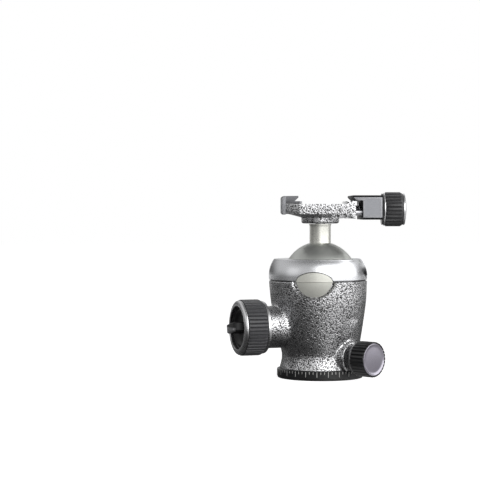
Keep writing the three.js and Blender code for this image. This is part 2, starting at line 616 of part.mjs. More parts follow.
// Clamp body: a slab with two corners cut in plan, a boss for the stem and a block under its screw end
const seatLeft = dovetail.centre - dovetail.plateWidth / 2 - dovetail.seatClearance;
const seatRight = dovetail.centre + dovetail.plateWidth / 2 + dovetail.seatClearance;
const tipLeft = seatLeft + dovetail.slope;
const tipRight = seatRight - dovetail.slope;
const halfLength = clamp.length / 2;
const jawEnd = clamp.leftEnd - gap - fixedJaw.endThickness;
const fixedJawBottom = underside - fixedJaw.drop;
const movableJawStart = clamp.rightEnd + movableJaw.offset;
const movableJawEnd = movableJawStart + movableJaw.thickness;
const movableJawBottom = underside - movableJaw.drop;
const movableJawTop = dovetailTop + movableJaw.lipRise;
const jawScrewHeight = underside + jawScrew.rise;
const guidePinStart = clamp.rightEnd - guidePin.grip;
const guidePinHeight = underside + guidePin.rise;
const clampScrewStart = clamp.rightEnd - clampScrew.grip;
const clampScrewHeight = underside + clampScrew.rise;

// The clamp seen from above, as a solid from below its foot to above its jaws
function clampPlan(left, right) {
  const half = halfLength - clamp.cornerCut;
  const outline = new THREE.Shape([
    [left, -half], [clamp.leftEnd, -half], [clamp.leftEnd + clamp.cornerCut, -halfLength],
    [right, -halfLength],
    [right, halfLength], [clamp.leftEnd + clamp.cornerCut, halfLength], [clamp.leftEnd, half], [left, half],
  ].map(([x, y]) => new THREE.Vector2(x, y)));
  const bottom = footHeight - overrun;
  const depth = dovetailTop + overrun - bottom;
  return solid(new THREE.ExtrudeGeometry(outline, { depth, bevelEnabled: false }).translate(0, 0, bottom));
}

const footInner = clamp.rightEnd - clamp.footWidth;
const flare = new THREE.QuadraticBezierCurve(
  new THREE.Vector2(clamp.rightEnd - clamp.flareWidth, underside),
  new THREE.Vector2(footInner - clamp.footWidth, underside),
  new THREE.Vector2(footInner, footHeight),
).getPoints(clamp.flareSteps).map((point) => [point.x, point.y]);
const slabOutline = [
  [clamp.leftEnd, underside], ...flare, [clamp.rightEnd, footHeight],
  [clamp.rightEnd, railTop],
  [clamp.rightEnd - clamp.railWidth, railTop], [clamp.rightEnd - clamp.railWidth, bed],
  [clamp.leftEnd, bed],
];
const boltHeadTop = bed - gap;
const boltHeadBottom = boltHeadTop - clampBolt.headHeight;
const clampBoss = turned([
  [0, bossBottom], [clamp.bossRadius - clamp.bossRound, bossBottom],
  [clamp.bossRadius, bossBottom + clamp.bossRound],
  [clamp.bossRadius, underside - clamp.coneHeight], [clamp.coneRadius, underside],
  [clamp.coneRadius, underside + gap], [0, underside + gap],
]);
const underRib = box(
  new THREE.Vector3(underBlock.start, -underBlock.halfLength, underside - underBlock.drop),
  new THREE.Vector3(clamp.rightEnd - gap, underBlock.halfLength, underside + gap),
);
let clampSolid = solid(ran(slabOutline, clamp.length)).intersect(clampPlan(clamp.leftEnd, clamp.rightEnd))
  .add(solid(clampBoss)).add(solid(underRib));
const pinSides = [-guidePin.spacing / 2, guidePin.spacing / 2];
const jawScrewSides = [-jawScrew.spacing / 2, jawScrew.spacing / 2];
const jawHeadStart = jawEnd + gap;
const jawHeadEnd = jawHeadStart + jawScrew.headHeight;
const jawScrewEnd = jawHeadEnd + jawScrew.length;

// A round piece along X, and the bore that clears one
function along(geometry, y, height) {
  return laid(geometry, 0, height).translate(0, y, 0);
}

function bore(radius, from, to, y, height) {
  return solid(along(disc(radius + gap, from, to, smallSides), y, height));
}

const clampCuts = [
  solid(disc(clampBolt.radius + gap, bossBottom - overrun, boltHeadBottom, smallSides)),
  solid(disc(clampBolt.headRadius + gap, boltHeadBottom - gap, bed + overrun, smallSides)),
  bore(clampScrew.radius, clampScrewStart - movableJaw.closing - gap, clamp.rightEnd + overrun,
    0, clampScrewHeight),
  ...pinSides.map((y) => bore(guidePin.radius, guidePinStart - gap, clamp.rightEnd + overrun,
    y, guidePinHeight)),
  ...jawScrewSides.map((y) => bore(jawScrew.radius, clamp.leftEnd - overrun, jawScrewEnd + gap,
    y, jawScrewHeight)),
];
for (const cut of clampCuts) clampSolid = clampSolid.subtract(cut);
piece('clamp_body', clampSolid, speckled);

const hexSides = 6;
const hexFloor = boltHeadTop - clampBolt.hexDepth;
const hexSocket = disc(clampBolt.hexRadius, hexFloor, boltHeadTop + overrun, hexSides);
piece('clamp_bolt', solid(turned([
  [0, boltHeadBottom - clampBolt.length], [clampBolt.radius, boltHeadBottom - clampBolt.length],
  [clampBolt.radius, boltHeadBottom], [clampBolt.headRadius, boltHeadBottom],
  [clampBolt.headRadius, boltHeadTop],
  [0, boltHeadTop],
], smallSides)).subtract(solid(hexSocket)), steel);

// Fixed jaw: an end plate and a lip in one piece, held by two screws in its end
const jawFootBottom = bed + gap;
const fixedJawOutline = [
  [jawEnd + fixedJaw.corner, fixedJawBottom], [clamp.leftEnd - gap, fixedJawBottom],
  [clamp.leftEnd - gap, jawFootBottom], [fixedJaw.footEnd, jawFootBottom],
  [fixedJaw.footEnd, railTop],
  [seatLeft, railTop], [tipLeft, railTop + dovetail.slope], [tipLeft, dovetailTop],
  [jawEnd + fixedJaw.corner, dovetailTop], [jawEnd, dovetailTop - fixedJaw.corner],
  [jawEnd, fixedJawBottom + fixedJaw.corner],
];
let fixedJawSolid = solid(ran(fixedJawOutline, clamp.length))
  .intersect(clampPlan(jawEnd - overrun, clamp.rightEnd));
for (const y of jawScrewSides) {
  fixedJawSolid = fixedJawSolid
    .subtract(bore(jawScrew.radius, jawEnd - overrun, clamp.leftEnd + overrun, y, jawScrewHeight))
    .subtract(bore(jawScrew.headRadius, jawEnd - overrun, jawHeadEnd + gap, y, jawScrewHeight));
}
piece('fixed_jaw', fixedJawSolid, greyAnodised);
jawScrewSides.forEach((y, i) => {
  const screw = turned([
    [0, jawHeadStart], [jawScrew.headRadius, jawHeadStart], [jawScrew.headRadius, jawHeadEnd],
    [jawScrew.radius, jawHeadEnd], [jawScrew.radius, jawScrewEnd], [0, jawScrewEnd],
  ], smallSides);
  piece(['fixed_jaw_screw_front', 'fixed_jaw_screw_rear'][i], along(screw, y, jawScrewHeight), steel);
});

// Movable jaw on two guide pins, drawn by the clamp knob's screw
const pinEnd = guidePinStart + guidePin.length;
pinSides.forEach((y, i) => piece(['guide_pin_front', 'guide_pin_rear'][i],
  along(disc(guidePin.radius, guidePinStart, pinEnd, smallSides), y, guidePinHeight), steel));
const lipBottom = railTop + movableJaw.lipClearance;
const movableJawOutline = [
  [movableJawStart, movableJawBottom], [movableJawEnd, movableJawBottom],
  [movableJawEnd, movableJawTop],
  [tipRight, movableJawTop], [tipRight, lipBottom + dovetail.slope], [seatRight, lipBottom],
  [movableJawStart, lipBottom],
];
// Its edges are broken on every side but the one toward the plate
const jawBlank = wasm.Manifold.hull([[0, 1, 1], [1, 0, 1], [1, 1, 0]].map(([x, y, z]) => solid(box(
  new THREE.Vector3(tipRight - overrun, y * movableJaw.chamfer - halfLength,
    movableJawBottom + z * movableJaw.chamfer),
  new THREE.Vector3(movableJawEnd - x * movableJaw.chamfer, halfLength - y * movableJaw.chamfer,
    movableJawTop - z * movableJaw.chamfer),
))));
const jawBoreStart = movableJawStart - overrun;
let movableJawSolid = solid(ran(movableJawOutline, clamp.length)).intersect(jawBlank)
  .subtract(bore(clampScrew.radius, jawBoreStart, movableJawEnd + overrun, 0, clampScrewHeight));
for (const y of pinSides) {
  const pinBore = bore(guidePin.radius, jawBoreStart, pinEnd + movableJaw.closing + gap, y, guidePinHeight);
  movableJawSolid = movableJawSolid.subtract(pinBore);
}
piece('movable_jaw', movableJawSolid, greyAnodised);

// Clamp knob: screw, retaining clip, core, silver ring, ribbed grip and domed cap
const clampAxis = knobAxis(0, clampScrewHeight);
const clipEnd = movableJawStart - gap;
const clampFlangeStart = movableJawEnd + clampCore.standOff;
const clampFlangeEnd = clampFlangeStart + clampCore.flangeThickness;
const clampHubEnd = clampFlangeEnd + clampCore.hubLength;
const clampRingEnd = clampFlangeEnd + gap + clampRing.thickness;
const clampGripStart = clampRingEnd + gap;
const clampGripEnd = clampGripStart + clampGrip.length;
const clampCapStart = clampGripEnd + gap;
const clampScrewEnd = clampHubEnd - clampCore.endWall - gap;
const clipStart = clipEnd - clip.thickness;
piece('clamp_screw', disc(clampScrew.radius, clampScrewStart, clampScrewEnd, smallSides), steel, clampAxis);
piece('screw_clip', tube(clampScrew.radius + gap, clip.radius, clipStart, clipEnd, smallSides), steel,
  clampAxis);
piece('clamp_knob_core', turned([
  [clampScrew.radius + gap, clampFlangeStart], [clampCore.flangeRadius, clampFlangeStart],
  [clampCore.flangeRadius, clampFlangeEnd], [clampCore.hubRadius, clampFlangeEnd],
  [clampCore.hubRadius, clampHubEnd],
  [0, clampHubEnd], [0, clampScrewEnd + gap], [clampScrew.radius + gap, clampScrewEnd + gap],
], smallSides), blackMetal, clampAxis);
piece('clamp_knob_ring', turned([
  [clampCore.hubRadius + gap, clampFlangeEnd + gap], [clampRing.rearRadius, clampFlangeEnd + gap],
  [clampRing.frontRadius, clampRingEnd], [clampCore.hubRadius + gap, clampRingEnd],
]), satinSilver, clampAxis);
const clampGripShell = solid(turned([
  [clampCore.hubRadius + gap, clampGripStart], [clampGrip.radius, clampGripStart],
  [clampGrip.radius, clampGripEnd - clampGrip.endTaper], [clampGrip.endRadius, clampGripEnd],
  [clampCore.hubRadius + gap, clampGripEnd],
], clampGrip.ribs));
const clampGripRibs = solid(ribbed(clampGrip, clampGripStart - overrun, clampGripEnd + overrun));
piece('clamp_knob_grip', clampGripShell.intersect(clampGripRibs), blackRubber, clampAxis);
piece('clamp_knob_cap', turned([
  [0, clampCapStart], [clampCap.radius, clampCapStart], [clampCap.radius, clampCapStart + clampCap.rim],
  ...Array.from({ length: clampCap.domeSteps }, (_, i) => {
    const turn = Math.PI / 2 * (i + 1) / clampCap.domeSteps;
    const reach = i + 1 < clampCap.domeSteps ? clampCap.radius * Math.cos(turn) : 0;
    return [reach, clampCapStart + clampCap.rim + clampCap.dome * Math.sin(turn)];
  }),
]), satinSilver, clampAxis);

export default ballHead;
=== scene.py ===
import math

import bpy
from mathutils import Matrix, Vector


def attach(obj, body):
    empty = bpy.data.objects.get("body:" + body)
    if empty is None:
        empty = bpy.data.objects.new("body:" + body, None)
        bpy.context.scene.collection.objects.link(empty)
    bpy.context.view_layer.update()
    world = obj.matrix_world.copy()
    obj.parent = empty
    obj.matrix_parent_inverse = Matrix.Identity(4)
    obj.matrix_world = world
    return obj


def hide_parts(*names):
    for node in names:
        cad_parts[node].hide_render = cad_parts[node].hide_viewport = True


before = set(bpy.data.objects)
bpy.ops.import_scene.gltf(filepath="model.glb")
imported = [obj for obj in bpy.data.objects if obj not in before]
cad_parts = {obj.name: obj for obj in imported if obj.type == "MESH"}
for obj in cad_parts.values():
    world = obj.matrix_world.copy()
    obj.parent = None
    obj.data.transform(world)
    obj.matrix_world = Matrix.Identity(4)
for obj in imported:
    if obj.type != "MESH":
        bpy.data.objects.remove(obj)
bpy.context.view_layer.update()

mm = 0.001

# Base plate: the disc that the head stands on, turned from bar and black anodised, with a lip at its
# foot. A 3/8 inch screw goes up into the steel socket pressed into its middle.


def start_clean():
    """Leaves edit mode and selects nothing, so that the next operator acts on one piece only."""
    if bpy.context.mode != "OBJECT":
        bpy.ops.object.mode_set(mode="OBJECT")
    bpy.ops.object.select_all(action="DESELECT")


def chain(name, points):
    """An open chain of edges through points in millimetres, left in edit mode with all of it selected."""
    start_clean()
    bpy.ops.mesh.primitive_plane_add(size=mm)
    piece = bpy.context.object
    piece.name = piece.data.name = name
    bpy.ops.object.mode_set(mode="EDIT")
    bpy.ops.mesh.merge(type="CENTER")
    bpy.ops.transform.translate(value=Vector(points[0]) * mm)
    for here, there in zip(points, points[1:]):
        step = (Vector(there) - Vector(here)) * mm
        bpy.ops.mesh.extrude_vertices_move(TRANSFORM_OT_translate={"value": step})
    bpy.ops.mesh.select_all(action="SELECT")
    return piece


def closed_up():
    """Merges doubles and turns the faces of the mesh in edit mode outward, then leaves edit mode."""
    bpy.ops.mesh.select_all(action="SELECT")
    bpy.ops.mesh.remove_doubles(threshold=0.002 * mm)
    bpy.ops.mesh.normals_make_consistent(inside=False)
    bpy.ops.object.mode_set(mode="OBJECT")


def turned(name, outline, steps=96):
    """A piece turned about Z from (radius, height) points; a ring's outline ends where it starts."""
    piece = chain(name, [(radius, 0, height) for radius, height in outline])
    bpy.ops.mesh.spin(steps=steps, angle=math.tau, center=(0, 0, 0), axis=(0, 0, 1), use_auto_merge=True)
    closed_up()
    return piece


def ring(outline):
    return [*outline, outline[0]]


def applied(piece, modifier):
    start_clean()
    piece.select_set(True)
    bpy.context.view_layer.objects.active = piece
    bpy.ops.object.modifier_apply(modifier=modifier.name)


def softened(piece, width, segments=3, angle=35):
    """Breaks every edge sharper than the angle."""
    bevel = piece.modifiers.new("Broken edges", "BEVEL")
    bevel.width = width * mm
    bevel.segments = segments
    bevel.limit_method = "ANGLE"
    bevel.angle_limit = math.radians(angle)
    bevel.harden_normals = False
    applied(piece, bevel)
    return piece


def node(tree, kind, sockets=None, **settings):
    """Adds a shader node; a socket takes either a value or another node's output."""
    made = tree.nodes.new("ShaderNode" + kind)
    for name, value in settings.items():
        setattr(made, name, value)
    for name, value in (sockets or {}).items():
        if isinstance(value, bpy.types.NodeSocket):
            tree.links.new(value, made.inputs[name])
        else:
            made.inputs[name].default_value = value
    return made


def effect(name, inputs, outputs):
    """An empty node group with float or vector sockets, and its input and output nodes."""
    tree = bpy.data.node_groups.new(name, "ShaderNodeTree")
    for socket, kind in inputs.items():
        tree.interface.new_socket(name=socket, in_out="INPUT", socket_type="NodeSocket" + kind)
    for socket, kind in outputs.items():
        tree.interface.new_socket(name=socket, in_out="OUTPUT", socket_type="NodeSocket" + kind)
    return tree, tree.nodes.new("NodeGroupInput").outputs, tree.nodes.new("NodeGroupOutput").inputs


def ramp(tree, value, stops):
    """A colour ramp over a value, from (place, grey or colour) stops."""
    made = node(tree, "ValToRGB", {"Fac": value})
    band = made.color_ramp
    while len(band.elements) < len(stops):
        band.elements.new(0.5)
    for element, (place, shade) in zip(band.elements, stops):
        element.position = place
        element.color = (*shade, 1) if isinstance(shade, tuple) else (shade, shade, shade, 1)
    return made.outputs["Color"]


# Grain: fine cloudy roughness and a faint relief, which every finish here has
grain, given, result = effect(
    "Fine grain",
    {"Vector": "Vector", "Scale": "Float", "Roughness": "Float", "Spread": "Float"},
    {"Roughness": "Float", "Height": "Float"})
cloud = node(grain, "TexNoise", {"Vector": given["Vector"], "Scale": given["Scale"], "Detail": 6.0,
                                 "Roughness": 0.65})
centred = node(grain, "Math", {0: cloud.outputs["Fac"], 1: 0.5}, operation="SUBTRACT")
spread = node(grain, "Math", {0: centred.outputs[0], 1: given["Spread"]}, operation="MULTIPLY")
grained = node(grain, "Math", {0: spread.outputs[0], 1: given["Roughness"]}, operation="ADD")
grain.links.new(grained.outputs[0], result["Roughness"])
grain.links.new(cloud.outputs["Fac"], result["Height"])

# Turning marks: close rings round the piece's own Z axis, as a lathe tool leaves them
lathe, given, result = effect(
    "Turning marks", {"Vector": "Vector", "Scale": "Float", "Reach": "Float"},
    {"Height": "Float", "Sheen": "Float"})
apart = node(lathe, "SeparateXYZ", {"Vector": given["Vector"]})
flat = node(lathe, "CombineXYZ", {"X": apart.outputs["X"], "Y": apart.outputs["Y"]})
radius = node(lathe, "VectorMath", {0: flat.outputs[0]}, operation="LENGTH")
profile = node(lathe, "CombineXYZ", {"X": radius.outputs["Value"], "Y": apart.outputs["Z"]})
marks = node(lathe, "TexNoise", {"Vector": profile.outputs[0], "Scale": given["Scale"], "Detail": 5.0,
                                 "Roughness": 0.7})
patch = node(lathe, "TexNoise", {"Vector": given["Vector"], "Scale": given["Reach"], "Detail": 2.0})
sheen = node(lathe, "Math", {0: marks.outputs["Fac"], 1: patch.outputs["Fac"]}, operation="MULTIPLY")
lathe.links.new(marks.outputs["Fac"], result["Height"])
lathe.links.new(sheen.outputs[0], result["Sheen"])


def finish(name, color, metallic, roughness, spread=0.15, scale=900.0, relief=0.02, bearing=None,
           height=0.0, marks=0.0, tint=0.12, coat=0.0, coat_roughness=0.1):
    """A metal, plastic or rubber finish: grain in its roughness, tint and relief, and turning marks
    about a knob's axis where it has any. The relief is in millimetres."""
    look = bpy.data.materials.new(name)
    look.use_nodes = True
    tree = look.node_tree
    shader = tree.nodes["Principled BSDF"]
    place = node(tree, "TexCoord").outputs["Object"]
    if bearing is not None:
        faced = node(tree, "Mapping", {"Vector": place, "Location": (0, 0, -height * mm),
                                       "Rotation": (0, 0, math.radians(-bearing))})
        about = node(tree, "Mapping", {"Vector": faced.outputs[0], "Rotation": (0, math.radians(-90), 0)})
        place = about.outputs[0]
    made = node(tree, "Group", node_tree=grain)
    for socket, value in {"Scale": scale, "Roughness": roughness, "Spread": spread}.items():
        made.inputs[socket].default_value = value
    tree.links.new(place, made.inputs["Vector"])
    relief_of = made.outputs["Height"]
    rough_of = made.outputs["Roughness"]
    if marks:
        turning = node(tree, "Group", node_tree=lathe)
        turning.inputs["Scale"].default_value = 3000.0
        turning.inputs["Reach"].default_value = 90.0
        tree.links.new(place, turning.inputs["Vector"])
        mixed = node(tree, "Mix", {"Factor": 0.75, 2: relief_of, 3: turning.outputs["Height"]})
        relief_of = mixed.outputs[0]
        streak = node(tree, "Math", {0: turning.outputs["Sheen"], 1: marks}, operation="MULTIPLY")
        summed = node(tree, "Math", {0: rough_of, 1: streak.outputs[0]}, operation="ADD")
        rough_of = summed.outputs[0]
    tree.links.new(rough_of, shader.inputs["Roughness"])
    dark = tuple(channel * (1 - tint) for channel in color)
    light = tuple(min(1.0, channel * (1 + tint)) for channel in color)
    shade = ramp(tree, made.outputs["Height"], [(0.35, dark), (0.65, light)])
    tree.links.new(shade, shader.inputs["Base Color"])
    bump = node(tree, "Bump", {"Height": relief_of, "Strength": 1.0, "Distance": relief * mm})
    tree.links.new(bump.outputs[0], shader.inputs["Normal"])
    shader.inputs["Metallic"].default_value = metallic
    shader.inputs["Coat Weight"].default_value = coat
    shader.inputs["Coat Roughness"].default_value = coat_roughness
    return look


def dressed(piece, body, slot, look, *nodes):
    """Shades a finished piece, gives it its material, hangs it on its body's empty and hides the CAD nodes
    it stands for. The slot, its finish's name, is not used.
    """
    start_clean()
    piece.select_set(True)
    bpy.context.view_layer.objects.active = piece
    bpy.ops.object.transform_apply(location=True, rotation=True, scale=True)
    bpy.ops.object.shade_smooth_by_angle(angle=math.radians(33))
    piece.data.materials.clear()
    piece.data.materials.append(look)
    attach(piece, body)
    if nodes:
        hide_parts(*nodes)
    return piece


def recoated(look, *nodes):
    """Gives plain inner parts, whose shapes are right as they are, their material."""
    for name in nodes:
        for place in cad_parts[name].material_slots:
            place.material = look


black_anodised = finish("black anodised", (0.018, 0.018, 0.019), 0.0, 0.34, scale=1400.0, marks=0.1)
plate = turned("base_plate_turned", ring([
    (7.1, 0), (20.6, 0), (21, 0.4), (21.8, 0.4), (22.2, 0), (26.6, 0), (27, 0.4), (27, 0.8), (26.4, 0.9),
    (26.4, 5.6), (26.1, 5.9), (7.1, 5.9)]), 128)
dressed(softened(plate, 0.12, 2), "pan_base", "black_metal", black_anodised, "base_plate")

# Degree scale: the black band pressed round the plate. White ticks are printed down from its upper
# edge, one each 5 degrees, and every third one is long.
band_inner, band_outer, band_low, band_high = 26.7, 27.3, 1.1, 5.7
band = turned("degree_scale_band", ring([
    (band_inner, band_low), (band_outer - 0.12, band_low), (band_outer, band_low + 0.12),
    (band_outer, band_high - 0.12), (band_outer - 0.12, band_high), (band_inner, band_high)]), 144)
band_black = finish("band black", (0.014, 0.014, 0.015), 0.0, 0.3, scale=1100.0, spread=0.2, coat=0.2)
dressed(band, "pan_base", "black_metal", band_black, "degree_scale")

tick_white = finish("tick paint", (0.72, 0.72, 0.7), 0.0, 0.55, scale=2500.0)
tick_count, tick_width, tick_sunk, tick_proud = 72, 0.34, 0.02, 0.02


def printed(reach):
    """One tick: a thin layer of paint with a soft edge, that reaches down from the band's edge."""
    start_clean()
    bpy.ops.mesh.primitive_plane_add(
        size=mm, rotation=(0, math.pi / 2, 0),
        location=((band_outer - tick_sunk) * mm, 0, (band_high - 0.1 - reach / 2) * mm))
    tick = bpy.context.object
    tick.scale = (reach, tick_width, 1)
    bpy.ops.object.transform_apply(location=True, rotation=True, scale=True)
    bpy.ops.object.mode_set(mode="EDIT")
    bpy.ops.mesh.extrude_region_move(TRANSFORM_OT_translate={"value": ((tick_sunk + 0.01) * mm, 0, 0)})
    bpy.ops.mesh.extrude_region_move(TRANSFORM_OT_translate={"value": ((tick_proud - 0.01) * mm, 0, 0)})
    bpy.ops.transform.resize(value=(1, 0.8, 0.96))
    closed_up()
    return tick


long_tick, short_tick = printed(3.3), printed(1.5)
ticks = [long_tick]
for number in range(tick_count):
    pattern = long_tick if number % 3 == 0 else short_tick
    if number:
        tick = pattern.copy()
        tick.data = pattern.data.copy()
        bpy.context.scene.collection.objects.link(tick)
        tick.data.transform(Matrix.Rotation(-math.tau * number / tick_count, 4, "Z"))
        ticks.append(tick)
bpy.data.objects.remove(short_tick)
start_clean()
for tick in ticks:
    tick.select_set(True)
bpy.context.view_layer.objects.active = long_tick
bpy.ops.object.join()
long_tick.name = long_tick.data.name = "degree_scale_ticks"
long_tick.data.transform(Matrix.Rotation(-math.tau * 1.4 / tick_count, 4, "Z"))
dressed(long_tick, "pan_base", "satin_silver", tick_white)

# Threaded bushing: a bright steel bush with a 3/8 inch thread, pressed into the plate. Its cap end
# reaches up into the spindle.
thread_pitch, thread_crest, thread_root = 1.5875, 4.4, 4.75
thread = []
for turn in range(7):
    low = 0.75 + turn * thread_pitch
    thread += [(thread_root, low + 0.1), (thread_root, low + 0.5), (thread_crest, low + 1.1),
               (thread_crest, low + 1.45)]
socket = turned("tripod_socket", [
    (0, 14), (6.5, 14), (6.8, 13.7), (6.8, 0.25), (6.55, 0), (5.1, 0), (4.75, 0.6), *thread,
    (thread_crest, 12), (0, 12)], 64)
bright_steel = finish("bright steel", (0.56, 0.56, 0.58), 1.0, 0.24, scale=1200.0, marks=0.2)
dressed(socket, "pan_base", "steel", bright_steel, "thread_bushing")

# Panning bearing, seats and lock parts: inner pieces of turned brass, steel and moulded polymer,
# whose plain shapes are right as they are.
turned_brass = finish("turned brass", (0.62, 0.44, 0.17), 1.0, 0.3, scale=1200.0, marks=0.2)
seat_polymer = finish("seat polymer", (0.74, 0.72, 0.66), 0.0, 0.5, scale=700.0, relief=0.03)
spindle_black = finish("spindle black", (0.02, 0.02, 0.021), 0.0, 0.38, scale=1300.0)
recoated(spindle_black, "pan_spindle")
recoated(turned_brass, "bearing_ring", "lock_bush", "pan_brake_shoe")
recoated(seat_polymer, "thrust_washer", "upper_seat", "lower_seat")
recoated(bright_steel, "lock_plunger", "main_lock_screw", "friction_spring", "friction_screw",
         "pan_lock_screw", "screw_clip")

# Housing: a cast aluminium shell with a boss for each lock, sprayed with a silver-flecked hammertone
# paint. Its upper part leans toward the main knob, and soft fillets run from the bosses into it.
main_bearing, main_height, main_reach, main_radius = 199.5, 32.5, 38.3, 13.3
pan_bearing, pan_height, pan_reach, pan_radius = -45.0, 13.8, 28.0, 10.0
foot_height, top_height, top_radius, lean = 6.32, 61.5, 31.15, 1.55
leaning = Vector((math.cos(math.radians(main_bearing)), math.sin(math.radians(main_bearing)), 0)) * lean


def laid(piece, bearing, height):
    """Lays a piece made about Z on a knob's axis: its Z points outward at the bearing, its Y stays up."""
    angle = math.radians(bearing)
    out = Vector((math.cos(angle), math.sin(angle), 0))
    side = Vector((-out.y, out.x, 0))
    place = Matrix((side, Vector((0, 0, 1)), out)).transposed().to_4x4()
    place.translation = (0, 0, height * mm)
    start_clean()
    piece.select_set(True)
    bpy.context.view_layer.objects.active = piece
    piece.matrix_world = place
    bpy.ops.object.transform_apply(location=True, rotation=True, scale=True)
    return piece


def worked(piece, tool, operation="DIFFERENCE"):
    """Cuts, joins or trims a piece with a tool, which is used up."""
    step = piece.modifiers.new("Worked", "BOOLEAN")
    step.operation = operation
    step.object = tool
    step.solver = "EXACT"
    applied(piece, step)
    bpy.data.objects.remove(tool)
    return piece


def prism(name, outline, low, high, flare=1.0):
    """A prism of (x, y) points from one height to another, wider or narrower at the top by the flare."""
    piece = chain(name, [(x, y, low) for x, y in outline])
    bpy.ops.mesh.edge_face_add()
    bpy.ops.mesh.extrude_region_move(TRANSFORM_OT_translate={"value": (0, 0, (high - low) * mm)})
    if flare != 1:
        bpy.ops.transform.resize(value=(flare, flare, 1), center_override=(0, 0, high * mm))
    closed_up()
    return piece


def curved(points, parts):
    """A smooth run of points through the given ones, with so many parts between each two."""
    run = []
    ends = [points[0], *points, points[-1]]
    for before, here, there, after in zip(ends, ends[1:], ends[2:], ends[3:]):
        for part in range(parts):
            t = part / parts
            run.append(tuple(
                0.5 * (2 * q + (r - p) * t + (2 * p - 5 * q + 4 * r - s) * t ** 2
                       + (3 * q - p - 3 * r + s) * t ** 3)
                for p, q, r, s in zip(before, here, there, after)))
    return [*run, points[-1]]


flank = curved([(25.7, 6.1), (24, 14), (25.9, 23.3), (28.2, 36), (30.2, 48.7), (31.15, 60.9)], 8)
shell = turned("housing_cast", [(0, 3), (25.7, 3), *flank, (31.2, 64), (0, 64)], 128)
for corner in shell.data.vertices:
    share = min(1, max(0, (corner.co.z / mm - foot_height) / (top_height - foot_height)))
    corner.co += leaning * mm * share
main_boss = laid(turned("main_boss", [(0, 0), (main_radius, 0), (main_radius, main_reach + 2),
                                      (0, main_reach + 2)], 72), main_bearing, main_height)
pan_boss = laid(turned("pan_boss", [(0, 0), (pan_radius, 0), (pan_radius, pan_reach + 2),
                                    (0, pan_reach + 2)], 64), pan_bearing, pan_height)
worked(shell, main_boss, "UNION")
worked(shell, pan_boss, "UNION")
start_clean()
shell.select_set(True)
bpy.context.view_layer.objects.active = shell
shell.data.remesh_voxel_size = 0.6 * mm
bpy.ops.object.voxel_remesh()

# The fillets: only where a boss runs into the shell is the cast surface rounded off
fillet = shell.vertex_groups.new(name="fillet")
for corner in shell.data.vertices:
    place = corner.co / mm
    share = min(1, max(0, (place.z - foot_height) / (top_height - foot_height)))
    off = place - leaning * share
    shell_radius = math.hypot(off.x, off.y)
    for bearing, height, radius, reach in ((main_bearing, main_height, main_radius, 4.2),
                                           (pan_bearing, pan_height, pan_radius, 1.5)):
        out = Vector((math.cos(math.radians(bearing)), math.sin(math.radians(bearing)), 0))
        along = place.dot(out)
        away = math.hypot(place.dot(Vector((-out.y, out.x, 0))), place.z - height)
        if along < 0:
            continue
        waist = next((r for r, z in flank if z >= place.z), 31.15)
        near = max(abs(away - radius), abs(shell_radius - waist)) / reach
        if near < 1 and place.z > foot_height + 0.6:
            fillet.add([corner.index], min(1, 1.6 * (1 - near)), "REPLACE")
for factor, repeat in ((0.5, 6), (0.5, 22)):
    smooth = shell.modifiers.new("Cast surface", "SMOOTH")
    smooth.factor = factor
    smooth.iterations = repeat
    if repeat > 6:
        smooth.vertex_group = "fillet"
    applied(shell, smooth)
shell.vertex_groups.clear()

foot_tool = turned("foot_tool", [(0, -2), (40, -2), (40, 6.1), (19.5, 6.1),
                                 (19.5, 19.5), (0, 19.5)], 96)
ball_room = [(math.sqrt(24.4 ** 2 - (z - 62.1) ** 2), z) for z in (46, 48, 50, 52, 54, 55.9)]
cavity_tool = turned("cavity_tool", [(0, 36.9), (19.8, 36.9), (19.8, 46), *ball_room[1:], (27.8, 56.1),
                                     (27.8, 70), (0, 70)], 96)
top_tool = turned("top_tool", [(0, top_height), (29.9, top_height), (30.6, 61.35), (30.95, 61.05),
                               (31.1, 60.6), (31.3, 60.4), (45, 60.3), (45, 80), (0, 80)], 96)
top_tool.location = leaning * mm
main_tool = laid(turned("main_tool", [
    (0, -12.3), (4.8, -12.3), (4.8, 20.2), (8.8, 20.2), (8.8, main_reach), (12.6, main_reach),
    (12.95, 38.2), (13.2, 37.95), (13.32, 37.6), (24, 37.6), (24, 50), (0, 50)], 64),
    main_bearing, main_height)
pan_tool = laid(turned("pan_tool", [
    (0, 16), (3.5, 16), (3.5, 22.3), (2.8, 22.3), (2.8, pan_reach), (9.3, pan_reach), (9.7, 27.85),
    (9.95, 27.6), (10.02, 27.3), (24, 27.3), (24, 50), (0, 50)], 64), pan_bearing, pan_height)
for tool in (foot_tool, cavity_tool, top_tool, main_tool, pan_tool):
    worked(shell, tool)


def almond(half_width, rise, drop, margin, parts=14):
    """The front cap's outline about the middle of the joint: an arch above it, a deeper bowl below."""
    width, deep = half_width + margin, drop + margin
    outline = []
    if rise:
        outline += [(width * math.cos(math.pi * i / parts), (rise + margin) * math.sin(math.pi * i / parts))
                    for i in range(parts + 1)]
    else:
        outline += [(width, 2), (-width, 2), (-width, 0)]

    def bowl(a, b, c, d):
        return [tuple((1 - t) ** 3 * p + 3 * (1 - t) ** 2 * t * q + 3 * (1 - t) * t ** 2 * r + t ** 3 * s
                      for p, q, r, s in zip(a, b, c, d)) for t in [i / parts for i in range(1, parts + 1)]]
    left = bowl((-width, 0), (-width * 0.87, -drop * 0.58), (-width * 0.55, -deep), (0, -deep))
    right = bowl((0, -deep), (width * 0.55, -deep), (width * 0.87, -drop * 0.58), (width, 0))
    return outline + left + right[:-1]


cap_bearing = 260.2
scoop_tool = laid(prism("scoop_tool", almond(4.95, 0, 2.7, 0), 24, 36, 6.1), cap_bearing, top_height)
scoop_floor = turned("scoop_floor", [(0, 30), (29.35, 30), (29.35, 75), (0, 75)], 128)
scoop_floor.location = leaning * 0.9 * mm
worked(scoop_tool, scoop_floor)
worked(shell, scoop_tool)


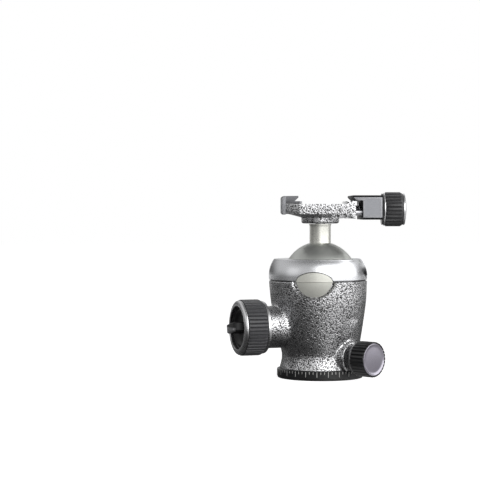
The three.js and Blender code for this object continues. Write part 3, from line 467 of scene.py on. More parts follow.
def pocket(start):
    """The tool for the cap's pocket, from a distance off the axis outward."""
    return laid(prism("pocket_tool", almond(11, 5.7, 9.6, 0.5), start, 36), cap_bearing, top_height)


worked(shell, pocket(27.4))

worm_scale, worm_relief = 1300.0, 0.3
fleck_black, fleck_silver = (0.018, 0.018, 0.019, 1), (0.58, 0.58, 0.59, 1)
hammertone = bpy.data.materials.new("hammertone paint")
hammertone.use_nodes = True
paint = hammertone.node_tree
place = node(paint, "TexCoord").outputs["Object"]
warp = node(paint, "TexNoise", {"Vector": place, "Scale": 900.0, "Detail": 1.0})
warped = node(paint, "MixRGB", {"Fac": 0.0004, "Color1": place, "Color2": warp.outputs["Color"]},
              blend_type="ADD")
dimple = node(paint, "TexNoise", {"Vector": warped.outputs[0], "Scale": worm_scale, "Detail": 1.0,
                                  "Roughness": 0.45})
silver = ramp(paint, dimple.outputs["Fac"], [(0.42, 0.0), (0.49, 1.0)])
shade = node(paint, "MixRGB", {"Fac": silver, "Color1": fleck_black, "Color2": fleck_silver})
shader = paint.nodes["Principled BSDF"]
paint.links.new(shade.outputs[0], shader.inputs["Base Color"])
paint.links.new(silver, shader.inputs["Metallic"])
made = node(paint, "Group", {}, node_tree=grain)
for socket, value in {"Scale": 1500.0, "Roughness": 0.2, "Spread": 0.12}.items():
    made.inputs[socket].default_value = value
paint.links.new(place, made.inputs["Vector"])
paint.links.new(made.outputs["Roughness"], shader.inputs["Roughness"])
bump = node(paint, "Bump", {"Height": dimple.outputs["Fac"], "Strength": 1.0, "Distance": worm_relief * mm})
paint.links.new(bump.outputs[0], shader.inputs["Normal"])
shader.inputs["Coat Weight"].default_value = 0.15
shader.inputs["Coat Roughness"].default_value = 0.15
dressed(shell, "head", "speckled_paint", hammertone, "housing")

# Collar: a satin silver ring of turned aluminium, screwed into the housing's top by its skirt. It
# holds the ball down, and a notch milled through it lets the stem drop to the side.
collar_low, collar_high = 61.9, 75.0


def bezier(a, b, c, parts):
    return [tuple((1 - t) ** 2 * p + 2 * (1 - t) * t * q + t ** 2 * r for p, q, r in zip(a, b, c))
            for t in [i / parts for i in range(parts + 1)]]


crown = bezier((top_radius, 64.5), (top_radius, 69.9), (28.1, 74.5), 18)
collar = turned("collar_turned", [
    (0, collar_low), (30.6, collar_low), (30.95, 62.0), (31.12, 62.25), *crown, (27.98, 74.8),
    (27.7, 74.96), (27.4, collar_high), (0, collar_high)], 160)
collar.location = leaning * mm
skirt = turned("skirt", ring([(25.9, 56.4), (27.5, 56.4), (27.5, 63), (25.9, 63)]), 96)
worked(collar, skirt, "UNION")
collar_tool = turned("collar_tool", [
    (0, 50), (25.7, 50), (25.7, 69.3), (23.2, 73.3), (21.1, 73.3), (20.35, 74.4), (20.25, 74.6),
    (20.3, 74.8), (20.55, 74.95), (20.9, 75.01), (20.9, 80), (0, 80)], 128)
worked(collar, collar_tool)
notch_half, notch_low = 9.5, 1.4
bottom = [(notch_half * math.cos(math.radians(turn)), notch_half + notch_low
           + notch_half * math.sin(math.radians(turn))) for turn in range(180, 361, 9)]
notch_tool = laid(prism("notch_tool", [(notch_half, 16), (-notch_half, 16), *bottom], 0, 36), -15, 62.1)
worked(collar, notch_tool)
worked(collar, pocket(24))
softened(collar, 0.3, 3, 38)
satin_silver = finish("satin silver", (0.6, 0.605, 0.62), 1.0, 0.25, spread=0.1, scale=1600.0,
                      relief=0.012, marks=0.12, tint=0.05)
dressed(collar, "head", "satin_silver", satin_silver, "collar")

# Front cap: an almond-shaped cap of warm grey metal, pressed into a pocket over the joint of collar
# and housing. Its two halves meet in a faint crest along the joint, with a fine raised line on it.
crest, dome = 0.35, 31.3
swell = []
for step in range(-16, 17):
    z = step * 0.75
    swell.append((math.sqrt(dome ** 2 - (abs(z) + crest) ** 2), top_height + z))
line_rise, line_half = 0.16, 0.3
swell[16:17] = [(swell[16][0] - 0.01, top_height - line_half), (swell[16][0] + line_rise, top_height),
                (swell[16][0] - 0.01, top_height + line_half)]
cap = laid(prism("front_cap_pressed", almond(11.2, 5.7, 9.6, 0, 20), 28.7, 36), cap_bearing, top_height)
dome_tool = turned("dome_tool", [(0, swell[0][1]), *swell, (0, swell[-1][1])], 200)
dome_tool.location = leaning * mm
worked(cap, dome_tool, "INTERSECT")
softened(cap, 0.35, 3, 40)
cap_grey = finish("cap grey satin", (0.66, 0.66, 0.605), 0.35, 0.38, spread=0.1, scale=1500.0,
                  relief=0.01, tint=0.05)
dressed(cap, "head", "warm_grey_metal", cap_grey, "front_cap")

# Ball: a big coated aluminium ball, ground true, drilled from its flat for the stem's spigot. Its
# coating is a grey-green satin.
ball_radius, ball_height, stem_radius = 23.75, 62.1, 6.7
flat_height = ball_height + math.sqrt(ball_radius ** 2 - stem_radius ** 2)
last = math.acos(stem_radius / ball_radius)
sphere = [(ball_radius * math.cos(turn), ball_height + ball_radius * math.sin(turn))
          for turn in [-math.pi / 2 + (last + math.pi / 2) * i / 56 for i in range(1, 57)]]
ball = turned("ball_ground", [(0, ball_height - ball_radius), *sphere, (4.8, flat_height),
                              (4.8, flat_height - 15), (0, flat_height - 15)], 128)
ball_coat = finish("ball coating", (0.62, 0.635, 0.605), 0.75, 0.38, spread=0.1, scale=2200.0,
                   relief=0.01, tint=0.05)
dressed(ball, "ball_and_stem", "coated_ball", ball_coat, "ball")

# Stem: the post between ball and clamp, turned from one bar, with a spigot pressed in the ball and a
# threaded bore in its top for the clamp's bolt.
stem = turned("stem_turned", [
    (0, 72.7), (4.5, 72.7), (4.5, 84.9), (6.72, 84.9), (6.72, 95.2), (6.8, 95.9), (7.05, 96.75),
    (7.0, 96.95), (6.85, 97), (3.6, 97), (3.3, 96.7), (3.3, 82), (0, 82)], 96)
warm_grey = finish("warm grey satin", (0.66, 0.66, 0.61), 0.85, 0.28, spread=0.1, scale=1500.0,
                   relief=0.01, tint=0.05)
dressed(stem, "ball_and_stem", "warm_grey_metal", warm_grey, "stem")

# Main lock knob: a black core on the lock screw, a silver ring behind it, a ribbed rubber grip, and a
# silver ring with a rounded face that holds the grip from the front.
rear_ring = laid(turned("main_rear_ring", ring([
    (4.3, 38.7), (15.9, 38.7), (16.35, 38.9), (16.5, 39.3), (16.5, 40.2), (16.35, 40.55), (16.1, 40.7),
    (4.3, 40.7)]), 128), main_bearing, main_height)
knob_silver = finish("knob silver", (0.66, 0.66, 0.67), 1.0, 0.24, spread=0.1, scale=1500.0, marks=0.1,
                     bearing=main_bearing, height=main_height, tint=0.04)
dressed(rear_ring, "main_knob", "satin_silver", knob_silver, "main_knob_rear_ring")

core = laid(turned("main_core", ring([
    (4.3, 41.0), (13.3, 41.0), (13.3, 53.7), (13.1, 54.0), (12.5, 54.0), (12.3, 53.8), (12.3, 49.0),
    (4.3, 49.0)]), 96), main_bearing, main_height)
knob_black = finish("knob black", (0.016, 0.016, 0.017), 0.0, 0.3, scale=1300.0, marks=0.12,
                    bearing=main_bearing, height=main_height)
dressed(core, "main_knob", "black_metal", knob_black, "main_knob_core")


def ribbed(name, radius, depth, count, top_share, low, high):
    """A prism with flat ribs round it; the grooves between them have sloped sides and a round floor."""
    half = top_share / 2
    round_share = 0.05
    profile = ((-half, -0.12), (-half + round_share, 0), (half - round_share, 0), (half, -0.12),
               (half + 0.08, -0.7), (0.5, -1), (1 - half - 0.08, -0.7))
    outline = []
    for rib in range(count):
        for turn, fall in profile:
            angle = (rib + turn) / count * math.tau
            reach = radius + fall * depth
            outline.append((reach * math.cos(angle), reach * math.sin(angle)))
    return prism(name, outline, low, high)


grip = ribbed("main_grip_ribbed", 17.5, 0.75, 46, 0.6, 30, 60)
envelope = turned("envelope", ring([(13.6, 41.0), (16.5, 41.0), (16.9, 41.15), (17.3, 41.8), (17.5, 42.5),
                                    (17.5, 53.1), (17.4, 53.5), (17.1, 53.75), (16.8, 53.8),
                                    (13.6, 53.8)]), 184)
worked(grip, envelope, "INTERSECT")
laid(grip, main_bearing, main_height)
grip_rubber = finish("grip rubber", (0.068, 0.068, 0.073), 0.0, 0.42, spread=0.2, scale=1300.0,
                     relief=0.04, tint=0.3)
dressed(grip, "main_knob", "black_rubber", grip_rubber, "main_knob_grip")

front_ring = laid(turned("main_front_ring", ring([
    (13.6, 54.1), (16.8, 54.1), (16.98, 54.18), *bezier((17.05, 54.35), (16.9, 55.9), (13.8, 56.1), 14),
    (13.55, 56.0), (13.4, 55.7)]), 160), main_bearing, main_height)
dressed(front_ring, "main_knob", "satin_silver", knob_silver, "main_knob_front_ring")

# Friction dial: a dished black disc inside the main knob, with a thumb bar across it whose tip is light
# grey and metallic on its lower part. It turns a small screw on a spring.
dial = turned("friction_dial_dished", [
    (2.3, 49.3), (11.8, 49.3), (12, 49.5), (12, 53.6), (11.8, 53.9), (11.4, 54), (10.7, 54),
    (10.4, 53.85), (9.6, 52.9), (8.2, 52.3), (5, 52.05), (0, 52), (0, 51), (2.3, 51), (2.3, 49.3)], 96)
wing = [(-8.4, 51.6), (8.4, 51.6), (7.9, 54.4), (7.5, 57.4), (7.1, 59.2), (5.9, 60.5), (-5.9, 60.5),
        (-7.1, 59.2), (-7.5, 57.4), (-7.9, 54.4)]
bar = prism("thumb_bar", wing, -2.9, 2.9)
start_clean()
bar.select_set(True)
bpy.context.view_layer.objects.active = bar
bar.matrix_world = Matrix(((1, 0, 0, 0), (0, 0, -1, 0), (0, 1, 0, 0), (0, 0, 0, 1)))
bpy.ops.object.transform_apply(location=True, rotation=True, scale=True)
softened(bar, 0.9, 4, 50)
bar.data.transform(Matrix.Rotation(math.radians(11), 4, "Z"))
worked(dial, bar, "UNION")
laid(dial, main_bearing, main_height)
dial_black = finish("dial black", (0.014, 0.014, 0.015), 0.0, 0.36, spread=0.12, scale=1500.0,
                    bearing=main_bearing, height=main_height, marks=0.1)
# The lower part of the bar's tip, with a ragged edge, is light grey and metallic.
dial_tree = dial_black.node_tree
outward = node(dial_tree, "Mapping", {"Vector": node(dial_tree, "TexCoord").outputs["Object"],
                                 "Rotation": (0, 0, math.radians(-main_bearing))})
reach = node(dial_tree, "SeparateXYZ", {"Vector": outward.outputs[0]})
tip_ragged = node(dial_tree, "TexNoise", {"Vector": outward.outputs[0], "Scale": 700.0, "Detail": 4.0})
edge = node(dial_tree, "Math", {0: tip_ragged.outputs["Fac"], 1: 0.0022, 2: reach.outputs["X"]},
            operation="MULTIPLY_ADD")
tip = node(dial_tree, "MapRange", {"Value": edge.outputs[0], "From Min": 0.0602, "From Max": 0.0616})
under = node(dial_tree, "MapRange", {"Value": reach.outputs["Z"], "From Min": 0.0333, "From Max": 0.0322})
tip_patch = node(dial_tree, "Math", {0: tip.outputs[0], 1: under.outputs[0]}, operation="MULTIPLY")
tip_grey = node(dial_tree, "MixRGB", {"Fac": tip_patch.outputs[0], "Color2": (0.5, 0.5, 0.51, 1)})
dial_shader = dial_tree.nodes["Principled BSDF"]
dial_shader.inputs["Specular IOR Level"].default_value = 0.25
dial_tree.links.new(dial_shader.inputs["Base Color"].links[0].from_socket, tip_grey.inputs["Color1"])
dial_tree.links.new(tip_grey.outputs[0], dial_shader.inputs["Base Color"])
dial_tree.links.new(tip_patch.outputs[0], dial_shader.inputs["Metallic"])
dressed(dial, "dial", "black_metal", dial_black, "friction_dial")

# Pan lock knob: a dark metal core and flange on the pan screw, a black ribbed rubber grip and a glossy
# mauve-grey cap let into its face.
pan_core = laid(turned("pan_core", [
    (0, 42.5), (2.8, 42.5), (2.8, 28.5), (4.8, 28.5), (5, 28.7), (5, 31.6), (5.3, 31.95), (5.8, 32.1),
    (9.7, 32.1), (10.05, 32.25), (10.2, 32.5), (10.2, 33.2), (10, 33.5), (6.5, 33.5), (6.5, 43),
    (0, 43)], 96), pan_bearing, pan_height)
pan_dark = finish("pan knob dark metal", (0.2, 0.2, 0.205), 0.9, 0.28, scale=1300.0, marks=0.1,
                  bearing=pan_bearing, height=pan_height)
dressed(pan_core, "pan_knob", "black_metal", pan_dark, "pan_knob_core")

pan_grip = ribbed("pan_grip_ribbed", 10.97, 0.75, 30, 0.55, 30, 50)
envelope = turned("envelope", ring([
    (6.8, 33.8), (10.3, 33.8), (10.7, 33.95), (11, 34.3), (11, 44.1), (10.85, 44.5), (10.5, 44.85),
    (10.35, 44.95), (10.3, 44.9), (10.3, 43.3), (6.8, 43.3)]), 156)
worked(pan_grip, envelope, "INTERSECT")
laid(pan_grip, pan_bearing, pan_height)
pan_rubber = finish("pan grip rubber", (0.01, 0.01, 0.011), 0.0, 0.4, spread=0.22, scale=1300.0,
                    relief=0.04, tint=0.3)
dressed(pan_grip, "pan_knob", "black_rubber", pan_rubber, "pan_knob_grip")

pan_cap = laid(turned("pan_cap_pressed", [
    (0, 43.6), (9.8, 43.6), (10, 43.8), (10, 44.4), (9.85, 44.62), (9.6, 44.7), (9.35, 44.62),
    (9.05, 44.35), (8.7, 44.22), (7.4, 44.24), (5, 44.3), (2.5, 44.34), (0, 44.35)], 128),
    pan_bearing, pan_height)
cap_mauve = finish("mauve cap", (0.37, 0.35, 0.41), 0.6, 0.18, spread=0.08, scale=1400.0, relief=0.008,
                   bearing=pan_bearing, height=pan_height, marks=0.06, coat=0.5, coat_roughness=0.06)
dressed(pan_cap, "pan_knob", "mauve_cap", cap_mauve, "pan_knob_cap")

# Clamp body: a cast slab in the housing's paint, with two corners cut off in plan, a round boss for
# the stem's bolt and a block under its screw end. Its bed is pocketed for the bolt's head.
clamp_left, clamp_right, clamp_half, corner_cut = -22.0, 20.7, 25.0, 8.0
underside, bed, rail_top, foot = 103.3, 109.5, 111.3, 100.4


def front_view(name, outline, half, middle=0):
    """A prism from a front-view outline of (x, z) points, run through Y."""
    piece = prism(name, outline, middle - half, middle + half)
    start_clean()
    piece.select_set(True)
    bpy.context.view_layer.objects.active = piece
    piece.matrix_world = Matrix(((1, 0, 0, 0), (0, 0, 1, 0), (0, 1, 0, 0), (0, 0, 0, 1)))
    bpy.ops.object.transform_apply(location=True, rotation=True, scale=True)
    bpy.ops.object.mode_set(mode="EDIT")
    closed_up()
    return piece


def plan(left):
    """The clamp's outline from above, as a trimming tool that starts at the given left end."""
    inner = clamp_half - corner_cut
    return prism("plan_tool", [
        (left, -inner), (clamp_left, -inner), (clamp_left + corner_cut, -clamp_half),
        (clamp_right, -clamp_half), (clamp_right, clamp_half), (clamp_left + corner_cut, clamp_half),
        (clamp_left, inner), (left, inner)], 95, 120)


flare = bezier((11.7, underside), (17.5, underside), (19.1, foot), 8)
clamp = front_view("clamp_cast", [
    (clamp_left, underside), *flare, (clamp_right, foot), (clamp_right, rail_top), (15.6, rail_top),
    (15.6, bed), (clamp_left, bed)], 30)
worked(clamp, plan(clamp_left), "INTERSECT")
clamp_boss = turned("clamp_boss", [
    (0, 97.3), (10.5, 97.3), (11.1, 97.42), (11.6, 97.75), (11.88, 98.2), (12, 98.8), (12, 100.9),
    (12.5, 101.25), (15, 101.9), (20.6, 103.3), (20.6, 103.8), (0, 103.8)], 96)
worked(clamp, clamp_boss, "UNION")
block = front_view("block", [(6, 103.9), (6, 101.4), (7.4, 100.6), (20.4, 100.6), (20.4, 103.9)], 19)
worked(clamp, block, "UNION")
softened(clamp, 0.45, 3, 40)


def bored(piece, radius, start, end, y, height):
    """Drills a hole along X."""
    drill = laid(turned("drill", [(0, start), (radius, start), (radius, end), (0, end)], 40), 0, height)
    drill.location = (0, y * mm, 0)
    return worked(piece, drill)


well = turned("well", [(0, 90), (3.3, 90), (3.3, 104.3), (5.3, 104.3), (5.3, 109.0), (5.8, 109.6),
                       (5.8, 120), (0, 120)], 64)
worked(clamp, well)
bored(clamp, 2.8, 8.7, 24, 0, 106.3)
for y in (-15, 15):
    bored(clamp, 2.4, 10.2, 24, y, 104.4)
for y in (-10, 10):
    bored(clamp, 1.8, -26, -10.9, y, 106.9)
dressed(clamp, "clamp", "speckled_paint", hammertone, "clamp_body")

# Clamp bolt: a steel hex-socket bolt down through the clamp's bed into the stem.


def hexagon(radius):
    return [(radius * math.cos(math.radians(60 * i)), radius * math.sin(math.radians(60 * i)))
            for i in range(6)]


bolt = turned("clamp_bolt_turned", [
    (0, 84.6), (2.6, 84.6), (3, 85), (3, 104.6), (4.8, 104.6), (5, 104.8), (5, 108.7), (4.6, 109.2),
    (3.2, 109.2), (0, 109.2)], 64)
worked(bolt, prism("key", hexagon(2.9), 106.2, 112))
dressed(bolt, "clamp", "steel", bright_steel, "clamp_bolt")

# Fixed jaw: a machined, grey anodised end piece whose lip makes the dovetail channel's left side. Its
# broken top edges are painted black as shade, and two hex-socket screws hold it on the clamp's end.
jaw_left, seat_left, tip_left, lip_top = -24.7, -16.9, -14.7, 114.5
fixed_jaw = front_view("fixed_jaw_machined", [
    (-23.7, 102.9), (-22.3, 102.9), (-22.3, 109.8), (-12.5, 109.8), (-12.5, rail_top),
    (seat_left, rail_top), (tip_left, 113.5), (tip_left, lip_top), (-23.7, lip_top), (jaw_left, 113.5),
    (jaw_left, 103.9)], 30)
worked(fixed_jaw, plan(-30), "INTERSECT")
softened(fixed_jaw, 0.3, 2, 25)
for y in (-10, 10):
    bored(fixed_jaw, 1.8, -28, -20, y, 106.9)
    bored(fixed_jaw, 3.05, -28, -22.9, y, 106.9)
grey_anodised = finish("grey anodised", (0.33, 0.333, 0.35), 0.5, 0.45, spread=0.12, scale=1800.0,
                       relief=0.012, tint=0.06)
dressed(fixed_jaw, "clamp", "grey_anodised", grey_anodised, "fixed_jaw")
# Near-black paint for painted shade on the jaws' broken edges and shaded faces.
painted_shade_black = finish("painted shade black", (0.012, 0.012, 0.013), 0.0, 0.5, scale=1400.0)
painted_shade_black.node_tree.nodes["Principled BSDF"].inputs["Specular IOR Level"].default_value = 0.2
fixed_jaw.data.materials.append(painted_shade_black)
# Painted shade: the lip's sloped top edges take the near-black paint.
for face in fixed_jaw.data.polygons:
    if face.center.z > (lip_top - 1.2) * mm and 0.2 < face.normal.z < 0.95:
        face.material_index = 1

for y, side in ((-10, "front"), (10, "rear")):
    screw = turned("fixed_jaw_screw_" + side + "_turned", [
        (0, -24.4), (2.5, -24.4), (2.75, -24.2), (2.75, -23.2), (1.5, -23.2), (1.5, -15), (1.2, -14.7),
        (0, -14.7)], 48)
    worked(screw, prism("key", hexagon(1.5), -28, -23.6))
    laid(screw, 0, 106.9)
    screw.location = (0, y * mm, 0)
    dressed(screw, "clamp", "steel", bright_steel, "fixed_jaw_screw_" + side)

# Guide pins: two bright ground steel pins in the clamp body, on which the movable jaw slides.
for y, side in ((-15, "front"), (15, "rear")):
    pin = laid(turned("guide_pin_" + side + "_ground", [
        (0, 10.5), (1.8, 10.5), (2.1, 10.8), (2.1, 32.7), (1.8, 33), (0, 33)], 48), 0, 104.4)
    pin.location = (0, y * mm, 0)
    dressed(pin, "clamp", "steel", bright_steel, "guide_pin_" + side)

# Movable jaw: a machined block, grey anodised, with painted shade in black on its broken edges, its face
# toward the channel and its lower middle faces. Its lip makes the channel's right side, and each end has a
# shallow milled panel.
jaw_start, jaw_end, jaw_low, jaw_high, seat_right, tip_right = 25.2, 38.3, 99.8, 114.9, 21.3, 19.1
jaw_broken = 1.2
jaw = front_view("movable_jaw_machined", [
    (jaw_start, jaw_low), (jaw_end - jaw_broken, jaw_low), (jaw_end, jaw_low + jaw_broken),
    (jaw_end, jaw_high - jaw_broken), (jaw_end - jaw_broken, jaw_high), (tip_right, jaw_high),
    (tip_right, 113.8), (seat_right, 111.6), (jaw_start, 111.6)], clamp_half)
jaw_side, jaw_bottom, jaw_top = clamp_half - jaw_broken, jaw_low + jaw_broken, jaw_high - jaw_broken
worked(jaw, prism("corners_tool", [
    (0, -clamp_half - 1), (jaw_end - jaw_broken - 1, -clamp_half - 1), (jaw_end + 1, -jaw_side + 1),
    (jaw_end + 1, jaw_side - 1), (jaw_end - jaw_broken - 1, clamp_half + 1), (0, clamp_half + 1)],
    90, 120), "INTERSECT")
worked(jaw, laid(prism("edges_tool", [
    (-clamp_half, jaw_bottom), (-jaw_side, jaw_low), (jaw_side, jaw_low), (clamp_half, jaw_bottom),
    (clamp_half, jaw_top), (jaw_side, jaw_high), (-jaw_side, jaw_high), (-clamp_half, jaw_top)],
    10, 50), 0, 0), "INTERSECT")
softened(jaw, 0.12, 2, 30)
bored(jaw, 2.8, 24, 40, 0, 106.3)
for y in (-15, 15):
    bored(jaw, 2.4, 24, 35.3, y, 104.4)


def rounded(low_x, high_x, low_y, high_y, radius):
    """A rectangle with round corners, as (x, y) points."""
    outline, parts = [], 5
    for x, y, start in ((high_x - radius, high_y - radius, 0), (low_x + radius, high_y - radius, 90),
                        (low_x + radius, low_y + radius, 180), (high_x - radius, low_y + radius, 270)):
        for part in range(parts + 1):
            turn = math.radians(start + 90 * part / parts)
            outline.append((x + radius * math.cos(turn), y + radius * math.sin(turn)))
    return outline


panel_depth = 0.15
for side in (-1, 1):
    worked(jaw, front_view("panel_tool", rounded(26.4, 35.9, 102.2, 112.6, 0.8), 1,
                           side * (clamp_half + 1 - panel_depth)))
dressed(jaw, "jaw", "grey_anodised", grey_anodised, "movable_jaw")
panel_grey = finish("panel grey", (0.3, 0.305, 0.325), 0.5, 0.48, spread=0.12, scale=1800.0, relief=0.012,
                    tint=0.06)
jaw.data.materials.append(painted_shade_black)
jaw.data.materials.append(panel_grey)
# Painted shade: the broken edges, the face toward the channel, and faces below 110 mm within 20 mm of the
# middle (bores included) get the near-black paint; the milled panels get the darker grey.
for face in jaw.data.polygons:
    middle, steepest = face.center / mm, max(abs(part) for part in face.normal)
    shaded_channel_face = face.normal.x < -0.9
    inside = jaw_start + 0.1 < middle.x and abs(middle.y) < 20 and middle.z < 110
    if steepest < 0.97 or shaded_channel_face or inside:
        face.material_index = 1
    elif abs(middle.y) < clamp_half - panel_depth / 2 and abs(face.normal.y) > 0.9:
        face.material_index = 2

# Clamp knob: a black core on the clamp screw, a silver cone ring, a ribbed rubber grip with a bevelled
# end, and a domed silver cap. Its screw draws the movable jaw in; a clip on it pushes the jaw out.
clamp_axis, screw_pitch, screw_core = 106.3, 0.8, 2.1
screw_thread = []
for turn in range(16):
    start = 11.4 + turn * screw_pitch
    screw_thread += [(screw_core, start), (2.45, start + 0.3), (2.5, start + 0.4), (2.45, start + 0.5),
                     (screw_core, start + 0.75)]
clamp_screw = laid(turned("clamp_screw_threaded", [
    (0, 11), (screw_core, 11), *screw_thread, (screw_core, 24.3), (2.5, 24.6), (2.5, 45.7), (2.3, 45.9),
    (0, 45.9)], 48), 0, clamp_axis)
dressed(clamp_screw, "clamp_knob", "steel", bright_steel, "clamp_screw")

clamp_core = laid(turned("clamp_core", [
    (0, 46.1), (2.6, 46.1), (2.6, 38.7), (9.5, 38.7), (9.8, 38.8), (9.9, 39.0), (9.9, 39.2), (9.8, 39.4),
    (9.6, 39.5), (6.7, 39.5), (6.7, 51.8), (0, 51.8)], 96), 0, clamp_axis)
clamp_black = finish("clamp knob black", (0.018, 0.017, 0.019), 0.0, 0.3, scale=1300.0, marks=0.1,
                     bearing=0, height=clamp_axis)
dressed(clamp_core, "clamp_knob", "black_metal", clamp_black, "clamp_knob_core")

clamp_silver = finish("clamp knob silver", (0.66, 0.66, 0.67), 1.0, 0.24, spread=0.1, scale=1500.0,
                      marks=0.1, bearing=0, height=clamp_axis, tint=0.04)
clamp_ring = laid(turned("clamp_ring", ring([
    (6.95, 39.65), (9.8, 39.65), (10.1, 39.75), (10.28, 40.0), (10.3, 40.3), (10.28, 40.65), (10.15, 40.85),
    (6.95, 40.85)]), 96), 0, clamp_axis)
dressed(clamp_ring, "clamp_knob", "satin_silver", clamp_silver, "clamp_knob_ring")

clamp_grip = ribbed("clamp_grip_ribbed", 10.82, 0.6, 24, 0.6, 38, 56)
envelope = turned("envelope", ring([
    (6.95, 41.0), (10.4, 41.0), (10.7, 41.1), (10.85, 41.4), (10.85, 50.0), (10.75, 50.4), (9.95, 51.7),
    (9.8, 51.8), (6.95, 51.8)]), 180)
worked(clamp_grip, envelope, "INTERSECT")
laid(clamp_grip, 0, clamp_axis)
clamp_rubber = finish("clamp grip rubber", (0.03, 0.03, 0.032), 0.0, 0.38, spread=0.2, scale=1300.0,
                      relief=0.04, tint=0.3)
dressed(clamp_grip, "clamp_knob", "black_rubber", clamp_rubber, "clamp_knob_grip")

clamp_cap = laid(turned("clamp_cap_domed", [
    (0, 52.0), (9.6, 52.0), (9.8, 52.08), (9.88, 52.3), (9.88, 53.0), (9.8, 53.18),
    *bezier((9.62, 53.28), (5.2, 54.3), (0, 54.4), 14)], 128), 0, clamp_axis)
dressed(clamp_cap, "clamp_knob", "satin_silver", clamp_silver, "clamp_knob_cap")

# Floor and light: a pale floor, two tall soft boxes from the front round to the right, and weak
# lamps at the left and overhead. What metal shows is a painted reflection, given by the world and the
# floor to glossy rays only: white behind, in front and at the right, dim at the left and overhead and
# dark beside the background, as in a studio lit from one side.
start_clean()
bpy.ops.mesh.primitive_plane_add(size=8)
floor = bpy.context.object
floor.name = "floor"
pale = bpy.data.materials.new("pale floor")
pale.use_nodes = True
sheet = pale.node_tree


def graded(tree, value, start, end, low, high):
    """A value that runs evenly from low to high while another goes from start to end."""
    return node(tree, "MapRange", {"Value": value, "From Min": start, "From Max": end, "To Min": low,
                                   "To Max": high}).outputs[0]


def blended(tree, share, low, high):
    return node(tree, "Mix", {"Factor": share, 2: low, 3: high}).outputs[0]


def product(tree, one, other):
    return node(tree, "Math", {0: one, 1: other}, operation="MULTIPLY").outputs[0]


def mirrored(tree):
    """Whether a ray is a camera ray, and whether it is a glossy or a transmission ray."""
    path = node(tree, "LightPath").outputs
    bounced = node(tree, "Math", {0: path["Is Glossy Ray"], 1: path["Is Transmission Ray"]},
                   operation="MAXIMUM")
    return path["Is Camera Ray"], bounced.outputs[0]


def round_about(tree, place, greys):
    """A grey that goes with the bearing of a place: 0 degrees in front, 90 at the right."""
    behind = product(tree, place.outputs["Y"], -1.0)
    bearing = node(tree, "Math", {0: place.outputs["X"], 1: behind}, operation="ARCTAN2").outputs[0]
    turned_share = graded(tree, bearing, -math.pi, math.pi, 0, 1)
    return ramp(tree, turned_share, [((degrees + 180) / 360, grey) for degrees, grey in greys])


floor_shader = sheet.nodes["Principled BSDF"]
floor_shader.inputs["Base Color"].default_value = (0.55, 0.55, 0.55, 1)
floor_shader.inputs["Roughness"].default_value = 0.9
floor_shader.inputs["Specular IOR Level"].default_value = 0.1
flat_place = node(sheet, "TexCoord").outputs["Object"]
spot = node(sheet, "SeparateXYZ", {"Vector": flat_place})
away = node(sheet, "VectorMath", {0: flat_place}, operation="LENGTH").outputs["Value"]
dark = 0.12
# Painted reflection on the floor for glossy rays: greys by bearing, darkest near the object at the left and
# front left, white farther off from the front round to the right, and white again far behind.
near = round_about(sheet, spot, [(-180, dark), (-120, dark), (-90, 0.05), (-30, 0.05), (0, 0.15), (22, 0.6),
                                 (35, 0.6), (50, 0.55), (75, 0.3), (110, dark), (180, dark)])
far = round_about(sheet, spot, [(-180, 0.1), (-130, 0.1), (-100, 0.15), (-50, 0.15), (-20, 0.6), (0, 1.0),
                                (110, 1.0), (130, dark), (180, dark)])
painted_reflection_grey = blended(sheet, graded(sheet, away, 0.12, 0.4, 0, 1), near, far)
painted_reflection_grey = blended(sheet, graded(sheet, spot.outputs["Y"], 0.6, 1.0, 0, 1), painted_reflection_grey, 1.0)
seen, shown = mirrored(sheet)
glow = node(sheet, "Emission", {"Color": (1, 1, 1, 1), "Strength": product(sheet, seen, 0.93)})
both = node(sheet, "AddShader", {0: floor_shader.outputs[0], 1: glow.outputs[0]})
painted_reflection = node(sheet, "Emission", {"Color": (1, 1, 1, 1), "Strength": painted_reflection_grey})
either = node(sheet, "MixShader", {0: shown, 1: both.outputs[0], 2: painted_reflection.outputs[0]})
sheet.links.new(either.outputs[0], sheet.nodes["Material Output"].inputs["Surface"])
floor.data.materials.append(pale)

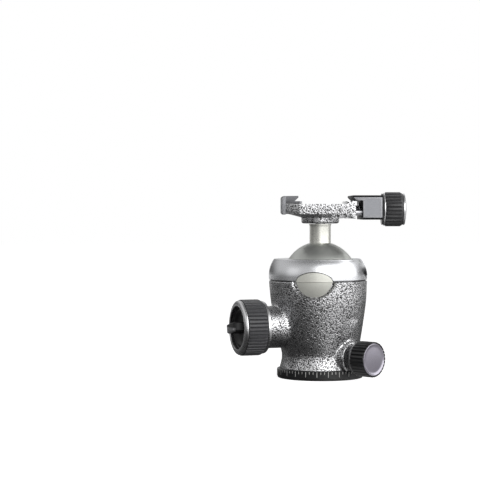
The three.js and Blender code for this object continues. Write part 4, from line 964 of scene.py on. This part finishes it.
world = bpy.data.worlds.new("white room")
bpy.context.scene.world = world
world.use_nodes = True
room = world.node_tree
direction = node(room, "SeparateXYZ", {"Vector": node(room, "TexCoord").outputs["Generated"]})
left = graded(room, direction.outputs["Z"], -0.02, 0.25, 0.33, 0.75)
to_right = graded(room, direction.outputs["X"], -0.1, 0.15, 0, 1)
walls = blended(room, to_right, left, 1.0)
low = graded(room, direction.outputs["Z"], 0.12, 0.45, 1, 0)
start = blended(room, to_right, 0.4, -0.12)
past = node(room, "Math", {0: direction.outputs["Y"], 1: start}, operation="SUBTRACT").outputs[0]
beside = graded(room, past, 0, 0.3, 0, 1)
walls = blended(room, product(room, low, beside), walls, dark)
walls = blended(room, graded(room, direction.outputs["Y"], 0.95, 0.985, 0, 1), walls, 1.0)
walls = blended(room, graded(room, direction.outputs["Z"], 0.6, 0.9, 0, 1), walls, 0.2)
level = graded(room, direction.outputs["Z"], 0.08, 0.2, 1, 0)
ahead = graded(room, direction.outputs["Y"], -0.79, -0.72, 1, 0)
walls = blended(room, product(room, level, ahead), walls, 1.0)
seen, shown = mirrored(room)
# Camera rays see white, glossy rays the painted reflection above, and diffuse light from the world stays at
# 0.12.
strength = blended(room, seen, blended(room, shown, 0.12, walls), 1.0)
background = room.nodes["Background"]
background.inputs["Color"].default_value = (1, 1, 1, 1)
room.links.new(strength, background.inputs["Strength"])

middle = Vector((0, 0, 0.06))
for name, place, width, height, power in (
        ("front soft box", (0.538, -1.128, 0.66), 1.65, 1.28, 12.4),
        ("right soft box", (1.231, -0.217, 0.66), 0.91, 1.28, 6.6),
        ("left fill", (-1.0, -0.5, 0.35), 0.6, 0.6, 0.5),
        ("overhead", (0.25, -0.1, 1.1), 0.6, 0.6, 0.2)):
    lamp = bpy.data.lights.new(name, "AREA")
    lamp.shape = "RECTANGLE"
    lamp.size = width
    lamp.size_y = height
    lamp.energy = power
    light = bpy.data.objects.new(name, lamp)
    bpy.context.scene.collection.objects.link(light)
    light.location = place
    facing = middle if name in ("left fill", "overhead") else Vector((0, 0, place[2]))
    light.rotation_euler = (facing - Vector(place)).to_track_quat("-Z", "Y").to_euler()

bpy.context.scene.view_settings.view_transform = "Standard"
lens = bpy.data.cameras.new("camera")
lens.lens, lens.sensor_width, lens.clip_start = 116, 36, 0.01
camera = bpy.data.objects.new("camera", lens)
bpy.context.scene.collection.objects.link(camera)
camera.location = (-0.0508, -0.98, 0.1046)
camera.rotation_euler = (math.radians(90 - 1.04), 0, 0)
bpy.context.scene.camera = camera

start_clean()
